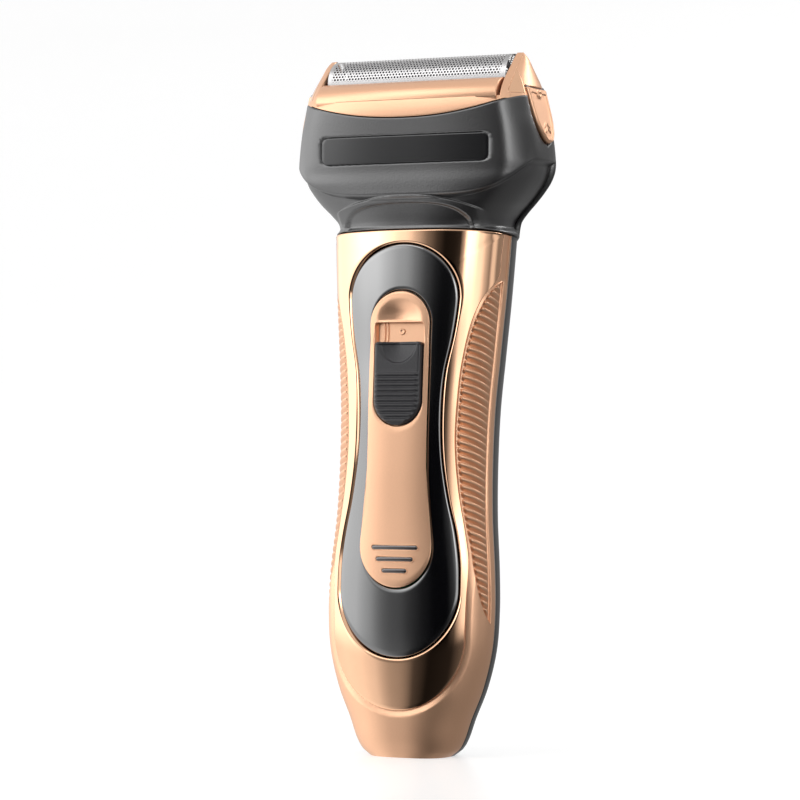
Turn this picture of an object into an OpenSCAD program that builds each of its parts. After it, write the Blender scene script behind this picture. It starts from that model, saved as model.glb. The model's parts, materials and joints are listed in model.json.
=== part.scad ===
// Foil shaver, upright on its base: +Z up, front towards -Y, millimetres.
// The origin is on the base plane, under the middle of the object's box.

/* [Overall] */
// Height of the sloping joint between head and handle, at the head's centre line
seam_z = 117.3; // [110:0.1:125]
// Slope of that joint, degrees, higher at the front
seam_tilt = 6; // [0:0.5:10]
// Where the head's centre line stands, front to back
head_y = 2.2; // [0:0.1:5]
// Lean of the battery and the board, degrees
lean_angle = 4.47; // [0:0.01:8]

/* [Shell layers] */
// Depth of the outer trim pieces
skin_t = 1.2; // [0.8:0.1:2]
// Gap between trim and housing
skin_gap = 0.1; // [0.05:0.05:0.3]
// Depth of the front housing's inner face
front_t = 2.6; // [2:0.1:4]
// Thickness of the rear housing
rear_t = 1.9; // [1.5:0.1:3]
// Thickness of the head shells
head_t = 1.9; // [1.5:0.1:3]

/* [Front trim] */
// Bottom of the glossy bezel
bezel_z0 = 10.7; // [5:0.1:20]
// Bottom and top of the black panel
panel_z0 = 22.5; // [15:0.1:30]
panel_z1 = 115.4; // [100:0.1:120]
// Bottom and top of the switch plate
plate_z0 = 38.2; // [30:0.1:50]
plate_z1 = 104.7; // [95:0.1:110]
// Spacing and width of the grip ribs
rib_pitch = 1.6; // [1.2:0.1:3]
rib_w = 0.9; // [0.5:0.1:1.5]
// Fall of the grip ribs towards the back, degrees
rib_tilt = 20; // [0:1:40]

/* [Switch] */
// Height of the switch frame's centre on the front
switch_z = 86; // [70:1:95]
// Lean of the sliding direction, degrees
slide_tilt = 3.5; // [0:0.1:8]
// Travel of the switch
switch_travel = 4.4; // [2:0.1:8]
// Half width of the switch and of its window
knob_hw = 5.75; // [4:0.05:8]
window_hw = 5.95; // [4:0.05:8]

/* [Drive] */
// Motor can radius and height
motor_r = 7.8; // [6:0.1:10]
motor_h = 20; // [15:1:30]
// Height of the motor's base
motor_z = 89.5; // [80:0.5:95]
// Throw of the eccentric
throw = 1; // [0.5:0.1:2]
// Radius of the eccentric's pin
pin_r = 0.9; // [0.6:0.1:1.5]
// Cell radius and length
cell_r = 7; // [5:0.1:8]
cell_h = 48.5; // [40:0.5:52]

/* [Cutting head] */
// Outer radius of the foil and its thickness
foil_r = 5.85; // [5:0.05:8]
foil_t = 0.25; // [0.1:0.05:0.5]
// Height of the foil's axis
foil_z = 152.3; // [145:0.1:155]
// Half length of the foil
foil_hl = 22.6; // [18:0.1:25]
// Number of blades
blade_count = 25; // [15:1:35]
// Thickness of the side tongues and how far they stand proud
tab_t = 1.4; // [1:0.1:2.5]
tab_proud = 0.5; // [0:0.1:1]
// Lean of the side tongues, degrees
tab_lean = 8.2; // [0:0.1:15]

/* [Hidden] */
ring_n = 48;
front_n = 2.8;
rear_n = 2.4;
// Handle sections: height, half width, front depth, rear depth, centre against the head's
handle_sections = [
  [0, 9.4, 7.5, 7.8, -6.8], [1.6, 11.5, 8, 8.4, -6.8], [4, 12.9, 8.6, 9.2, -6.8],
  [8.4, 14.5, 9.1, 9.9, -6.8], [15.3, 17.4, 9.6, 10.7, -6.8], [24, 19.6, 10, 11.2, -6.7],
  [33, 20.2, 10.2, 11.3, -6.4], [42, 19.9, 10.4, 11.4, -5.9], [54, 18.75, 11.2, 11.7, -4.6],
  [66, 18.3, 11.9, 12, -3.5], [78, 18.45, 12.4, 12.2, -2.5], [90, 19.3, 12.6, 12.5, -1.5],
  [104, 20.4, 12.8, 12.8, -0.5], [120, 21.4, 12.8, 13, 0.6]];
// Head sections: height, half width, half depth, squareness, centre against the head's
head_sections = [
  [114, 21, 12.8, 2.8, 0.4], [120.2, 21.9, 12.7, 2.8, 0.3], [122.4, 23.5, 12.6, 3, 0],
  [124.7, 25.8, 12.4, 3.2, -0.3], [127, 27.8, 12.3, 3.4, -0.3], [129.3, 29.4, 12.3, 3.6, -0.2],
  [131.6, 30.3, 12.3, 3.6, 0], [134, 30.5, 12.3, 3.6, 0], [140.7, 29.9, 12.2, 3.6, -0.1],
  [145.2, 29.2, 12.1, 3.6, -0.2], [150, 28.4, 12, 3.6, -0.2]];
// End caps of the foil frame: height, half width, half depth, squareness, centre
cap_sections = [
  [146, 28.9, 11.9, 3.6, -0.2], [149, 28.3, 11.4, 3.2, -0.1], [151, 27.7, 10.4, 2.9, 0],
  [153, 27, 9, 2.7, 0], [155, 26.2, 7.1, 2.5, 0], [156.6, 25.4, 5, 2.4, 0],
  [157.6, 24.5, 3, 2.3, 0], [158.3, 23.2, 1.2, 2.2, 0]];
// Half widths against height: glossy bezel, grip's front edge, panel, switch plate
bezel_half = [[10, 16], [26, 16.1], [35, 16.4], [44, 16.8], [50, 16], [60, 14.3], [71, 13.4],
  [83, 13.9], [90, 14.7], [97, 16.1], [102.7, 18], [107, 20.3], [112, 21.3], [125, 22.4]];
grip_half = [[29, 20.3], [35, 19], [41, 17.9], [47, 16.9], [54, 15.5], [60.8, 14.5],
  [71, 13.7], [83, 14.2], [90, 15], [97, 16.5], [102.7, 18.5], [107, 21]];
panel_half = [[22, 15], [42, 15.2], [50, 14.2], [58, 12.3], [67, 10.9], [76, 10.5], [86, 11],
  [95, 12.8], [103, 13.8], [116, 14.2]];
plate_half = [[38, 8.5], [48, 8.5], [57, 7.4], [67, 7.05], [80, 7.1], [105, 7.3]];
// Heights, half lengths of the three indicator slots
indicators = [[47.2, 5.4], [44.6, 4.35], [42, 2.9]];
handle_z = [0, 0.7, 1.6, 4, 8, 12, 17, 23, 30, 37, 44, 51, 58, 66, 74, 82, 90, 98, 106, 113, 120];
head_z = [114, 118, 120.2, 122.4, 124.7, 127, 129.3, 131.6, 134, 137.5, 141, 145.2, 150];
handle_core_z = [4, 10, 19, 30, 41, 52, 64, 76, 88, 99, 109];
head_core_z = [120.2, 123.5, 127, 131, 137.5, 143];
core_n = 28;
foil_ri = foil_r - foil_t;
grip_z0 = 29.6;
grip_z1 = 107;
grip_back = 2.2;
cell_base_z = 25;
board_y = -7.2;
board_t = 1.2;
socket_y = head_y - 6.8;
deck_z = 138;
post_r = 2;

// ---- Shape functions ----
function seg(t, z, i = 0) = (i >= len(t) - 2 || z <= t[i + 1][0]) ? i : seg(t, z, i + 1);
function slope(t, i, c) =
  let (a = max(i - 1, 0), b = min(i + 1, len(t) - 1))
  (t[b][c] - t[a][c]) / (t[b][0] - t[a][0]);
// Smooth value of column c of a table at height z
function smooth(t, z, c = 1) =
  let (i = seg(t, z), h = t[i + 1][0] - t[i][0], u = max(0, min(1, (z - t[i][0]) / h)))
  (2 * u * u * u - 3 * u * u + 1) * t[i][c]
  + (u * u * u - 2 * u * u + u) * h * slope(t, i, c)
  + (3 * u * u - 2 * u * u * u) * t[i + 1][c]
  + (u * u * u - u * u) * h * slope(t, i + 1, c);
function spow(v, e) = sign(v) * pow(abs(v), e);
function handle_cy(z) = head_y + smooth(handle_sections, z, 4);
function handle_ring(z, i, count = ring_n) =
  let (
    a = smooth(handle_sections, z, 1) - i,
    f = smooth(handle_sections, z, 2) - i,
    r = smooth(handle_sections, z, 3) - i,
    c = handle_cy(z)
  )
  [for (k = [0:count - 1])
    let (t = 360 * (k + 0.5) / count, n = sin(t) < 0 ? front_n : rear_n, d = sin(t) < 0 ? f : r)
    [a * spow(cos(t), 2 / n), c + d * spow(sin(t), 2 / n)]];
function head_ring(table, z, i, count = ring_n) =
  let (
    a = smooth(table, z, 1) - i,
    d = max(0.3, smooth(table, z, 2) - i),
    n = smooth(table, z, 3),
    c = head_y + smooth(table, z, 4)
  )
  [for (k = [0:count - 1])
    let (t = 360 * (k + 0.5) / count)
    [a * spow(cos(t), 2 / n), c + d * spow(sin(t), 2 / n)]];
function round_end(t) = t <= 0 ? 0 : t >= 1 ? 1 : sqrt(1 - (1 - t) * (1 - t));
function rise(z0, z1, n) = [for (k = [0:n]) z0 + (z1 - z0) * (1 - cos(180 * k / n)) / 2];
// Front view outlines, left side up and right side down
function bezel_hw(z) = smooth(bezel_half, z) * round_end((z - bezel_z0) / 16);
function panel_hw(z) =
  smooth(panel_half, z) * round_end((z - panel_z0) / 15) * round_end((panel_z1 - z) / 13);
function plate_hw(z) =
  smooth(plate_half, z) * round_end((z - plate_z0) / 9) * round_end((plate_z1 - z) / 7.5);
// Lower edge of the foil frame, rising towards the sides
function frame_edge(x) = 143.7 + 4.7 * pow(min(abs(x), 28) / 28, 2.2);

// ---- Shape helpers ----
// Solid between two sections, one at z0 and one at z1
module slab(low, z0, high, z1) {
  n = len(low);
  hull()
    polyhedron(
      points = concat([for (p = low) [p[0], p[1], z0]], [for (p = high) [p[0], p[1], z1]]),
      faces = [[for (k = [0:n - 1]) k], [for (k = [0:n - 1]) 2 * n - 1 - k]]);
}
module handle_solid(i, from = 0, to = 120, levels = handle_z, count = ring_n) {
  zs = concat([from], [for (z = levels) if (z > from + 0.5 && z < to - 0.5) z], [to]);
  for (k = [0:len(zs) - 2])
    slab(handle_ring(zs[k], i, count), zs[k], handle_ring(zs[k + 1], i, count), zs[k + 1]);
}
// Coarser copies of the handle and the head, for inner faces and ribs
module handle_core(i, from, to) {
  handle_solid(i, from, to, handle_core_z, core_n);
}
module head_solid(i, from = 114, to = 150, levels = head_z, count = ring_n) {
  zs = concat([from], [for (z = levels) if (z > from + 0.5 && z < to - 0.5) z], [to]);
  for (k = [0:len(zs) - 2])
    slab(head_ring(head_sections, zs[k], i, count), zs[k],
      head_ring(head_sections, zs[k + 1], i, count), zs[k + 1]);
}
module head_core(i, from, to) {
  head_solid(i, from, to, head_core_z, core_n);
}
module cap_solid(i) {
  for (k = [0:len(cap_sections) - 2]) {
    z0 = cap_sections[k][0];
    z1 = cap_sections[k + 1][0];
    slab(head_ring(cap_sections, z0, i), z0 - i, head_ring(cap_sections, z1, i), z1 - i);
  }
}
// Prism towards the front with the given front view outline
module front_prism(points, reach = 40) {
  rotate([90, 0, 0])
    linear_extrude(reach)
      polygon(points);
}
// Prism across the object with the given side view outline
module side_prism(points, width = 100) {
  rotate([90, 0, 90])
    linear_extrude(width, center = true)
      polygon(points);
}
// Outline of half width w(z) + g around the middle line
function outline(ws, zs, g) = concat(
  [for (k = [0:len(zs) - 1]) [-(ws[k] + g), zs[k]]],
  [for (k = [len(zs) - 1:-1:0]) [ws[k] + g, zs[k]]]);
module bezel_prism(g = 0) {
  zs = rise(bezel_z0 - g, 126, 30);
  front_prism(outline([for (z = zs) bezel_hw(max(z, bezel_z0 + 0.05))], zs, g));
}
module panel_prism(g = 0) {
  zs = rise(panel_z0, panel_z1, 30);
  ws = [for (z = zs) panel_hw(z)];
  mid = (panel_z0 + panel_z1) / 2;
  front_prism(outline(ws, [for (z = zs) mid + (z - mid) * (1 + g / (mid - panel_z0))], g));
}
module plate_prism(g = 0) {
  zs = rise(plate_z0, plate_z1, 24);
  ws = [for (z = zs) plate_hw(z)];
  mid = (plate_z0 + plate_z1) / 2;
  front_prism(outline(ws, [for (z = zs) mid + (z - mid) * (1 + g / (mid - plate_z0))], g));
}
// The side of the handle outside the grip's front edge, right side
module grip_prism(g = 0) {
  zs = [for (k = [0:16]) grip_z0 - g + (grip_z1 - grip_z0 + 2 * g) * k / 16];
  inner = [for (z = zs) [smooth(grip_half, z) - g, z]];
  intersection() {
    front_prism(concat(inner, [[40, grip_z1 + g], [40, grip_z0 - g]]));
    side_prism(concat([[-40, grip_z0 - g - 1]],
      [for (z = zs) [handle_cy(z) - grip_back + g, z]], [[-40, grip_z1 + g + 1]]));
  }
}
module front_half(g = 0) {
  side_prism(concat([[-40, -1]], [for (z = handle_z) [handle_cy(z) - g, z == 0 ? -1 : z]],
    [[handle_cy(120) - g, 130], [-40, 130]]));
}
module rear_half(g = 0) {
  side_prism(concat([[40, -1]], [for (z = handle_z) [handle_cy(z) + g, z == 0 ? -1 : z]],
    [[handle_cy(120) + g, 130], [40, 130]]));
}
module below_seam(g = 0) {
  translate([0, head_y, seam_z - g])
    rotate([-seam_tilt, 0, 0])
      translate([-50, -50, -200])
        cube([100, 100, 200]);
}
module above_seam(g = 0) {
  translate([0, head_y, seam_z + g])
    rotate([-seam_tilt, 0, 0])
      translate([-50, -50, 0])
        cube([100, 100, 200]);
}
// Everything under the foil frame's lower edge
module under_frame(g = 0) {
  xs = [for (k = [-16:16]) 2 * k];
  rotate([90, 0, 0])
    linear_extrude(100, center = true)
      polygon(concat([[-40, 100]], [for (x = xs) [x, frame_edge(x) + g]], [[40, 100]]));
}
// Outline of the side release tongue
module tab_outline(g = 0) {
  side_prism([
    [head_y - 4.4 - g, 152], [head_y - 4.4 - g, 143], [head_y - 3.4 - g, 139.5 - g],
    [head_y - 1.6 - g / 2, 137.4 - g], [head_y, 136.9 - g], [head_y + 1.6 + g / 2, 137.4 - g],
    [head_y + 3.4 + g, 139.5 - g], [head_y + 4.4 + g, 143], [head_y + 4.4 + g, 152]]);
}
module right_of(x) {
  translate([x, -50, -10])
    cube([60, 100, 200]);
}
module stadium(hl, r, h) {
  rotate([90, 0, 0])
    linear_extrude(h, center = true)
      union() {
        square([2 * (hl - r), 2 * r], center = true);
        translate([hl - r, 0])
          circle(r, $fn = 32);
        translate([r - hl, 0])
          circle(r, $fn = 32);
      }
}
// The switch frame: x across, y into the handle, z along the slide
module at_switch() {
  translate([0, handle_cy(switch_z) - smooth(handle_sections, switch_z, 2), switch_z])
    rotate([-slide_tilt, 0, 0])
      children();
}
module at_cell() {
  translate([0, head_y - 6.65, cell_base_z])
    rotate([-lean_angle, 0, 0])
      children();
}
module box(x0, x1, y0, y1, z0, z1) {
  translate([x0, y0, z0])
    cube([x1 - x0, y1 - y0, z1 - z0]);
}
module pin(r, z0, z1) {
  translate([0, 0, z0])
    cylinder(r = r, h = z1 - z0, $fn = 64);
}
// Front view of the switch window: straight top, round bottom
module window_shape(hw, z0, z1, y0, y1) {
  translate([0, y1, 0])
    rotate([90, 0, 0])
      linear_extrude(y1 - y0)
        union() {
          translate([-hw, z0 + hw])
            square([2 * hw, z1 - z0 - hw]);
          translate([0, z0 + hw])
            circle(hw, $fn = 64);
        }
}
module indicator_cuts(g) {
  for (s = indicators)
    translate([0, -14, s[0]])
      stadium(s[1] + g, 0.5 + g, 30);
}

// ---- Handle shells ----
module front_housing() {
  color([0.85, 0.62, 0.45])
    difference() {
      intersection() {
        handle_solid(0);
        front_half(0.05);
        below_seam(0.15);
      }
      handle_core(front_t, 2.2, 121);
      difference() {
        union() {
          bezel_prism(skin_gap);
          grip_prism(skin_gap);
          mirror([1, 0, 0])
            grip_prism(skin_gap);
        }
        handle_solid(skin_t + skin_gap, 1, 121);
      }
      at_switch()
        box(-2, 2, -3, 5, -7.3, 3.2);
      indicator_cuts(0.3);
      translate([0, socket_y, -1])
        cylinder(r = 3.8, h = 5, $fn = 48);
    }
}
module rear_housing() {
  color([0.27, 0.26, 0.28])
    difference() {
      intersection() {
        handle_solid(0);
        rear_half(0.05);
        below_seam(0.15);
      }
      handle_core(rear_t, 2.2, 121);
      translate([0, socket_y, -1])
        cylinder(r = 3.8, h = 5, $fn = 48);
    }
}
module front_bezel() {
  color([0.80, 0.55, 0.38])
    difference() {
      intersection() {
        handle_solid(0);
        bezel_prism();
        front_half(0.1);
        below_seam(0.15);
      }
      handle_solid(skin_t, 1, 121);
      panel_prism(0.15);
    }
}
module front_panel() {
  color([0.05, 0.05, 0.055])
    difference() {
      intersection() {
        handle_solid(0.25, 1, 120);
        panel_prism();
        front_half(0.1);
      }
      handle_solid(skin_t, 1, 121);
      plate_prism(0.12);
    }
}
module switch_plate() {
  color([0.88, 0.65, 0.48])
    difference() {
      intersection() {
        handle_solid(-0.5, 1, 120);
        plate_prism();
        front_half(0.1);
      }
      handle_solid(skin_t, 1, 121);
      at_switch()
        window_shape(window_hw, -11.75, 11.6, -5, 0.7);
      at_switch()
        box(-1.6, 1.6, -3, 5, -6.95, 2.75);
      indicator_cuts(0.15);
    }
}
module grip_side() {
  difference() {
    intersection() {
      handle_core(0.35, 20, 112);
      grip_prism();
    }
    handle_core(skin_t - 0.15, 15, 115);
  }
  intersection() {
    handle_core(0, 20, 112);
    grip_prism(-0.4);
    difference() {
      for (k = [0:54])
        translate([0, head_y, grip_z0 - 6 + k * rib_pitch])
          rotate([-rib_tilt, 0, 0])
            translate([5, -40, 0])
              cube([30, 60, rib_w]);
      handle_core(0.6, 15, 115);
    }
  }
}
module grip_right() {
  color([0.84, 0.60, 0.43])
    grip_side();
}
module grip_left() {
  color([0.84, 0.60, 0.43])
    mirror([1, 0, 0])
      grip_side();
}
module indicator_lenses() {
  color([0.35, 0.35, 0.37])
    for (s = indicators)
      intersection() {
        translate([0, handle_cy(s[0]) - smooth(handle_sections, s[0], 2) + 0.8, s[0]])
          stadium(s[1], 0.5, 2.4);
        translate([0, 0, 0])
          box(-10, 10, -40, 0, 30, 60);
      }
}

// ---- Inside the handle ----
module inner_chassis() {
  color([0.80, 0.80, 0.78]) {
    translate([0, head_y, 0])
      difference() {
        union() {
          pin(8.8, motor_z - 1.5, 108.5);
          box(-13.5, 13.5, -3, 3, motor_z - 1.5, motor_z + 4);
        }
        pin(motor_r + 0.05, motor_z - 0.05, 112);
        pin(2.4, motor_z - 3, motor_z + 1);
        box(-5, -3.2, -1.2, 1.2, motor_z - 3, motor_z + 1);
        box(3.2, 5, -1.2, 1.2, motor_z - 3, motor_z + 1);
      }
    at_cell()
      difference() {
        union() {
          box(-8.6, 8.6, -4.6, 7.4, -1.8, -0.6);
          box(-8.6, 8.6, -4.6, 7.4, cell_h + 0.6, cell_h + 1.8);
          box(-8.6, -7.15, -4.6, 6.6, -1.8, 61.5);
          box(7.15, 8.6, -4.6, 6.6, -1.8, 61.5);
          box(-13, -7.15, -2, 2, 30, 33);
          box(7.15, 13, -2, 2, 30, 33);
        }
        for (x = [-11, 11])
          translate([x, 0, 31.5])
            rotate([-90, 0, 0])
              cylinder(r = 0.95, h = 8, center = true, $fn = 32);
      }
  }
}
module battery() {
  color([0.20, 0.45, 0.30])
    at_cell()
      translate([0, 1.6, 0]) {
        pin(cell_r, 0, cell_h - 1.2);
        pin(2.6, cell_h - 1.21, cell_h);
      }
}
module battery_tabs() {
  color([0.75, 0.75, 0.72])
    at_cell() {
      box(-2.5, 2.5, -5.6, 3.5, -0.45, -0.02);
      box(-2.5, 2.5, -6, -5.6, -0.45, 6);
      box(-2.5, 2.5, -5.6, 3.5, cell_h + 0.02, cell_h + 0.45);
      box(-2.5, 2.5, -6, -5.6, cell_h - 6, cell_h + 0.45);
    }
}
module circuit_board() {
  color([0.12, 0.38, 0.20])
    at_cell()
      difference() {
        box(-8, 8, board_y, board_y + board_t, 11, 62);
        for (x = [-6, 6])
          translate([x, board_y, 58])
            rotate([-90, 0, 0])
              cylinder(r = 0.8, h = 6, center = true, $fn = 32);
      }
}
module board_components() {
  color([0.14, 0.14, 0.15])
    at_cell() {
      box(-6, -2, board_y + board_t, board_y + board_t + 1.4, 51.2, 56);
      box(1, 4, board_y + board_t, board_y + board_t + 1.8, 51.5, 54.5);
      translate([4.2, board_y + board_t, 58.5])
        rotate([-90, 0, 0])
          cylinder(r = 1.6, h = 3, $fn = 32);
      box(-7.4, -5.4, board_y + board_t, board_y + board_t + 0.5, 14, 17);
      box(5.2, 7.2, board_y + board_t, board_y + board_t + 0.5, 14, 16);
      box(-1.6, 0, board_y + board_t, board_y + board_t + 0.7, 57, 60);
    }
}
module indicator_leds() {
  color([0.95, 0.90, 0.80])
    at_cell()
      for (s = indicators)
        box(-0.8, 0.8, board_y - 0.35, board_y, s[0] - cell_base_z - 0.9, s[0] - cell_base_z + 0.1);
}
module slide_switch() {
  color([0.72, 0.72, 0.70])
    at_switch()
      box(-4.5, 4.5, 4.15, 5.05, -10, 6);
}
module motor_can() {
  color([0.78, 0.79, 0.80])
    translate([0, head_y, 0])
      difference() {
        union() {
          pin(motor_r, motor_z, motor_z + motor_h);
          pin(3, motor_z + motor_h - 0.01, motor_z + motor_h + 1.2);
        }
        pin(motor_r - 0.8, motor_z - 1, motor_z + motor_h - 0.8);
        pin(1.05, motor_z, motor_z + motor_h + 3);
      }
}
module motor_end_cap() {
  color([0.15, 0.15, 0.16])
    translate([0, head_y, 0])
      difference() {
        union() {
          pin(motor_r - 0.85, motor_z, motor_z + 1.8);
          pin(2.2, motor_z - 1.4, motor_z + 0.1);
          box(-4.4, -3.6, -0.9, 0.9, motor_z - 1.4, motor_z + 0.1);
          box(3.6, 4.4, -0.9, 0.9, motor_z - 1.4, motor_z + 0.1);
        }
        pin(1.05, motor_z - 1, motor_z + 5);
      }
}
module motor_magnets() {
  color([0.25, 0.25, 0.27])
    translate([0, head_y, 0])
      difference() {
        pin(motor_r - 0.85, motor_z + 3, motor_z + 17);
        pin(5.6, motor_z + 2, motor_z + 18);
        box(-2.5, 2.5, -10, 10, motor_z + 2, motor_z + 18);
      }
}
module charge_socket() {
  color([0.09, 0.09, 0.10])
    translate([0, socket_y, 0])
      difference() {
        union() {
          pin(3.6, 0.5, 11.5);
          difference() {
            pin(4.6, 2.6, 4);
            box(-6, 6, -6, -3.7, 2, 5);
          }
        }
        pin(1.75, 0, 10);
      }
}
module socket_pin() {
  color([0.80, 0.72, 0.42])
    translate([0, socket_y, 0]) {
      pin(0.65, 1.2, 10);
      box(-0.4, 0.4, -0.4, 0.4, 11.5, 13.5);
    }
}
module neck_plate() {
  color([0.30, 0.29, 0.31])
    difference() {
      union() {
        slab(handle_ring(111.4, front_t + 0.3), 111.4, handle_ring(113.8, front_t + 0.3), 113.8);
        slab(handle_ring(113.7, front_t + 0.5), 113.7, handle_ring(120, front_t + 0.8), 120.2);
      }
      slab(handle_ring(113.8, front_t + 2), 113.8, handle_ring(120, front_t + 2.2), 121);
      translate([0, head_y, 0])
        pin(3.3, 110, 116);
      for (x = [-14, 14])
        translate([x, head_y, 0])
          pin(1, 110, 116);
    }
}
module shaft_seal() {
  color([0.10, 0.10, 0.11])
    translate([0, head_y, 0])
      difference() {
        union() {
          pin(3.25, 111.6, 114.3);
          pin(4.4, 113.85, 114.6);
        }
        pin(1.25, 110, 116);
      }
}
module chassis_screws() {
  color([0.70, 0.71, 0.73]) {
    at_cell()
      for (x = [-11, 11])
        translate([x, 0, 31.5])
          rotate([-90, 0, 0]) {
            translate([0, 0, -1.8])
              cylinder(r = 0.9, h = 6.4, $fn = 32);
            translate([0, 0, -3.2])
              cylinder(r = 1.7, h = 1.15, $fn = 32);
          }
    for (x = [-14, 14])
      translate([x, head_y, 0]) {
        pin(0.9, 107, 113.85);
        pin(1.7, 113.85, 114.9);
      }
  }
}
// A lead through the given points
module lead(points, r = 0.45) {
  for (k = [0:len(points) - 2])
    hull()
      for (p = [points[k], points[k + 1]])
        translate(p)
          sphere(r = r, $fn = 8);
}
module wiring() {
  color([0.75, 0.12, 0.10]) {
    lead([[4, head_y, motor_z - 2], [5.9, head_y - 3, 87.2], [5.9, head_y - 6.6, 85]]);
    lead([[11, -8, 45], [11, -8.5, 21.6], [6, socket_y - 2, 16], [1.6, socket_y, 12.5]]);
  }
  color([0.08, 0.08, 0.09]) {
    lead([[-4, head_y, motor_z - 2], [-5.9, head_y - 3, 87.2], [-5.9, head_y - 6.6, 85]]);
    lead([[-11, -8, 45], [-11, -8.5, 21.6], [-6, socket_y - 2, 16], [-1.6, socket_y, 12.5]]);
  }
}

// ---- Slide switch ----
module power_switch() {
  color([0.20, 0.20, 0.21])
    at_switch()
      union() {
        difference() {
          window_shape(knob_hw, -11.5, 7.2, -0.9, 0.6);
          translate([0, -0.9, 4.6])
            rotate([0, 90, 0])
              cylinder(r = 1.9, h = 7.4, center = true, $fn = 48);
        }
        for (k = [0:8])
          translate([0, -0.9, -9 + 1.15 * k])
            rotate([0, 90, 0])
              cylinder(r = 0.4, h = 2 * sqrt(5.1 * 5.1 - pow(min(0, -4 + 1.15 * k), 2)), center = true, $fn = 24);
        box(-1.3, 1.3, 0.5, 3, -6.6, -2);
      }
}
module switch_carriage() {
  color([0.85, 0.84, 0.80])
    at_switch()
      box(-4, 4, 3, 3.8, -8.6, 0);
}
module switch_contact() {
  color([0.82, 0.68, 0.35])
    at_switch()
      box(-1, 1, 3.8, 4, -6, -2);
}

// ---- Rotor ----
module rotor_core() {
  color([0.55, 0.42, 0.30])
    translate([0, head_y, 0])
      difference() {
        pin(5.2, motor_z + 3.5, motor_z + 16.5);
        pin(1, motor_z, motor_z + 30);
        for (t = [0:120:240])
          rotate([0, 0, t])
            box(2.2, 6, -0.6, 0.6, motor_z + 3, motor_z + 17);
      }
}
module motor_shaft() {
  color([0.80, 0.81, 0.83])
    translate([0, head_y, 0])
      pin(1, motor_z - 0.8, 120.6);
}
module eccentric_cam() {
  color([0.92, 0.91, 0.88])
    translate([0, head_y, 0]) {
      difference() {
        pin(3, 117.4, 120.9);
        pin(1, 117, 120.6);
      }
      translate([throw, 0, 0])
        pin(pin_r, 120.8, 125.4);
    }
}

// ---- Head ----
module head_body() {
  difference() {
    intersection() {
      head_solid(0);
      above_seam(0.15);
      under_frame();
    }
    head_core(head_t, 113, 151);
    for (m = [0, 1])
      mirror([m, 0, 0])
        intersection() {
          difference() {
            right_of(20);
            head_solid(1.1, 113, 151);
          }
          tab_outline(0.35);
        }
    box(-21.2, 21.2, head_y - 20, head_y - 11.5, 133.3, 140);
  }
}
module head_front_shell() {
  color([0.27, 0.26, 0.28])
    intersection() {
      head_body();
      box(-50, 50, -50, head_y + 4.9, 100, 160);
    }
}
module head_rear_shell() {
  color([0.25, 0.24, 0.26])
    intersection() {
      head_body();
      box(-50, 50, head_y + 5, 50, 100, 160);
    }
}
module label_panel() {
  color([0.13, 0.13, 0.14])
    intersection() {
      head_solid(0.25, 130, 144);
      box(-21, 21, head_y - 20, head_y - 11.55, 133.5, 139.8);
    }
}
module head_deck() {
  color([0.33, 0.33, 0.35])
    difference() {
      head_core(head_t + 0.25, deck_z - 2, 145.8);
      difference() {
        head_core(head_t + 1.5, deck_z - 4, 147);
        box(-50, 50, -50, 50, deck_z, deck_z + 2);
      }
      box(-4.6, 4.6, head_y - 3.6, head_y + 3.6, 130, 150);
      for (x = [-17, 17])
        translate([x, head_y, 0])
          pin(1.05, 130, 150);
    }
}
module drive_seal() {
  color([0.08, 0.08, 0.09])
    translate([0, head_y, 0])
      difference() {
        pin(8, deck_z + 2, deck_z + 2.4);
        box(-4.3, 4.3, -3.3, 3.3, 130, 150);
      }
}
module head_screws() {
  color([0.70, 0.71, 0.73])
    for (x = [-17, 17])
      translate([x, head_y, 0]) {
        pin(1, deck_z - 5, deck_z + 2);
        pin(1.9, deck_z + 2, deck_z + 3.2);
      }
}

// ---- Drive bridge ----
module drive_bridge() {
  color([0.90, 0.89, 0.86])
    translate([0, head_y, 0]) {
      difference() {
        box(-6.2, 6.2, -4.2, 4.2, 121.6, 129);
        box(-3.2, 3.2, -2.3, 2.3, 121, 126.4);
      }
      box(-11, 11, -4, 4, 127.2, 129);
      pin(3, 128.9, deck_z + 2.7);
      pin(5.5, deck_z + 2.7, deck_z + 3.6);
      pin(post_r, deck_z + 3.5, 146.7);
    }
}
module bridge_legs() {
  color([0.86, 0.85, 0.80])
    translate([0, head_y, 0])
      for (s = [-1, 1])
        translate([s * 11.3, 0, 0])
          box(-0.25, 0.25, -4, 4, 127.4, deck_z - 0.05);
}

// ---- Cutter ----
module blade_holder() {
  color([0.18, 0.18, 0.20])
    translate([0, head_y, 0])
      difference() {
        union() {
          box(-20, 20, -5, 5, 145.6, 148);
          pin(3.1, 143.6, 145.7);
        }
        pin(post_r + 0.06, 140, 149);
      }
}
module cutter_blades() {
  color([0.80, 0.81, 0.83])
    translate([0, head_y, foil_z])
      for (k = [0:blade_count - 1])
        translate([-19.2 + 38.4 * k / (blade_count - 1) - 0.15, 0, 0])
          difference() {
            rotate([0, 90, 0])
              cylinder(r = foil_ri - 0.12, h = 0.3, $fn = 48);
            translate([-1, 0, 0])
              rotate([0, 90, 0])
                cylinder(r = 3.9, h = 3, $fn = 48);
            box(-1, 2, -7, 7, -8, 148 - foil_z);
          }
}
module cutter_spring() {
  color([0.70, 0.71, 0.73])
    translate([0, head_y, 0])
      for (k = [0:4])
        translate([0, 0, deck_z + 3.9 + 0.8 * k])
          rotate_extrude($fn = 48)
            translate([4.1, 0])
              circle(0.28, $fn = 16);
}

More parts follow.
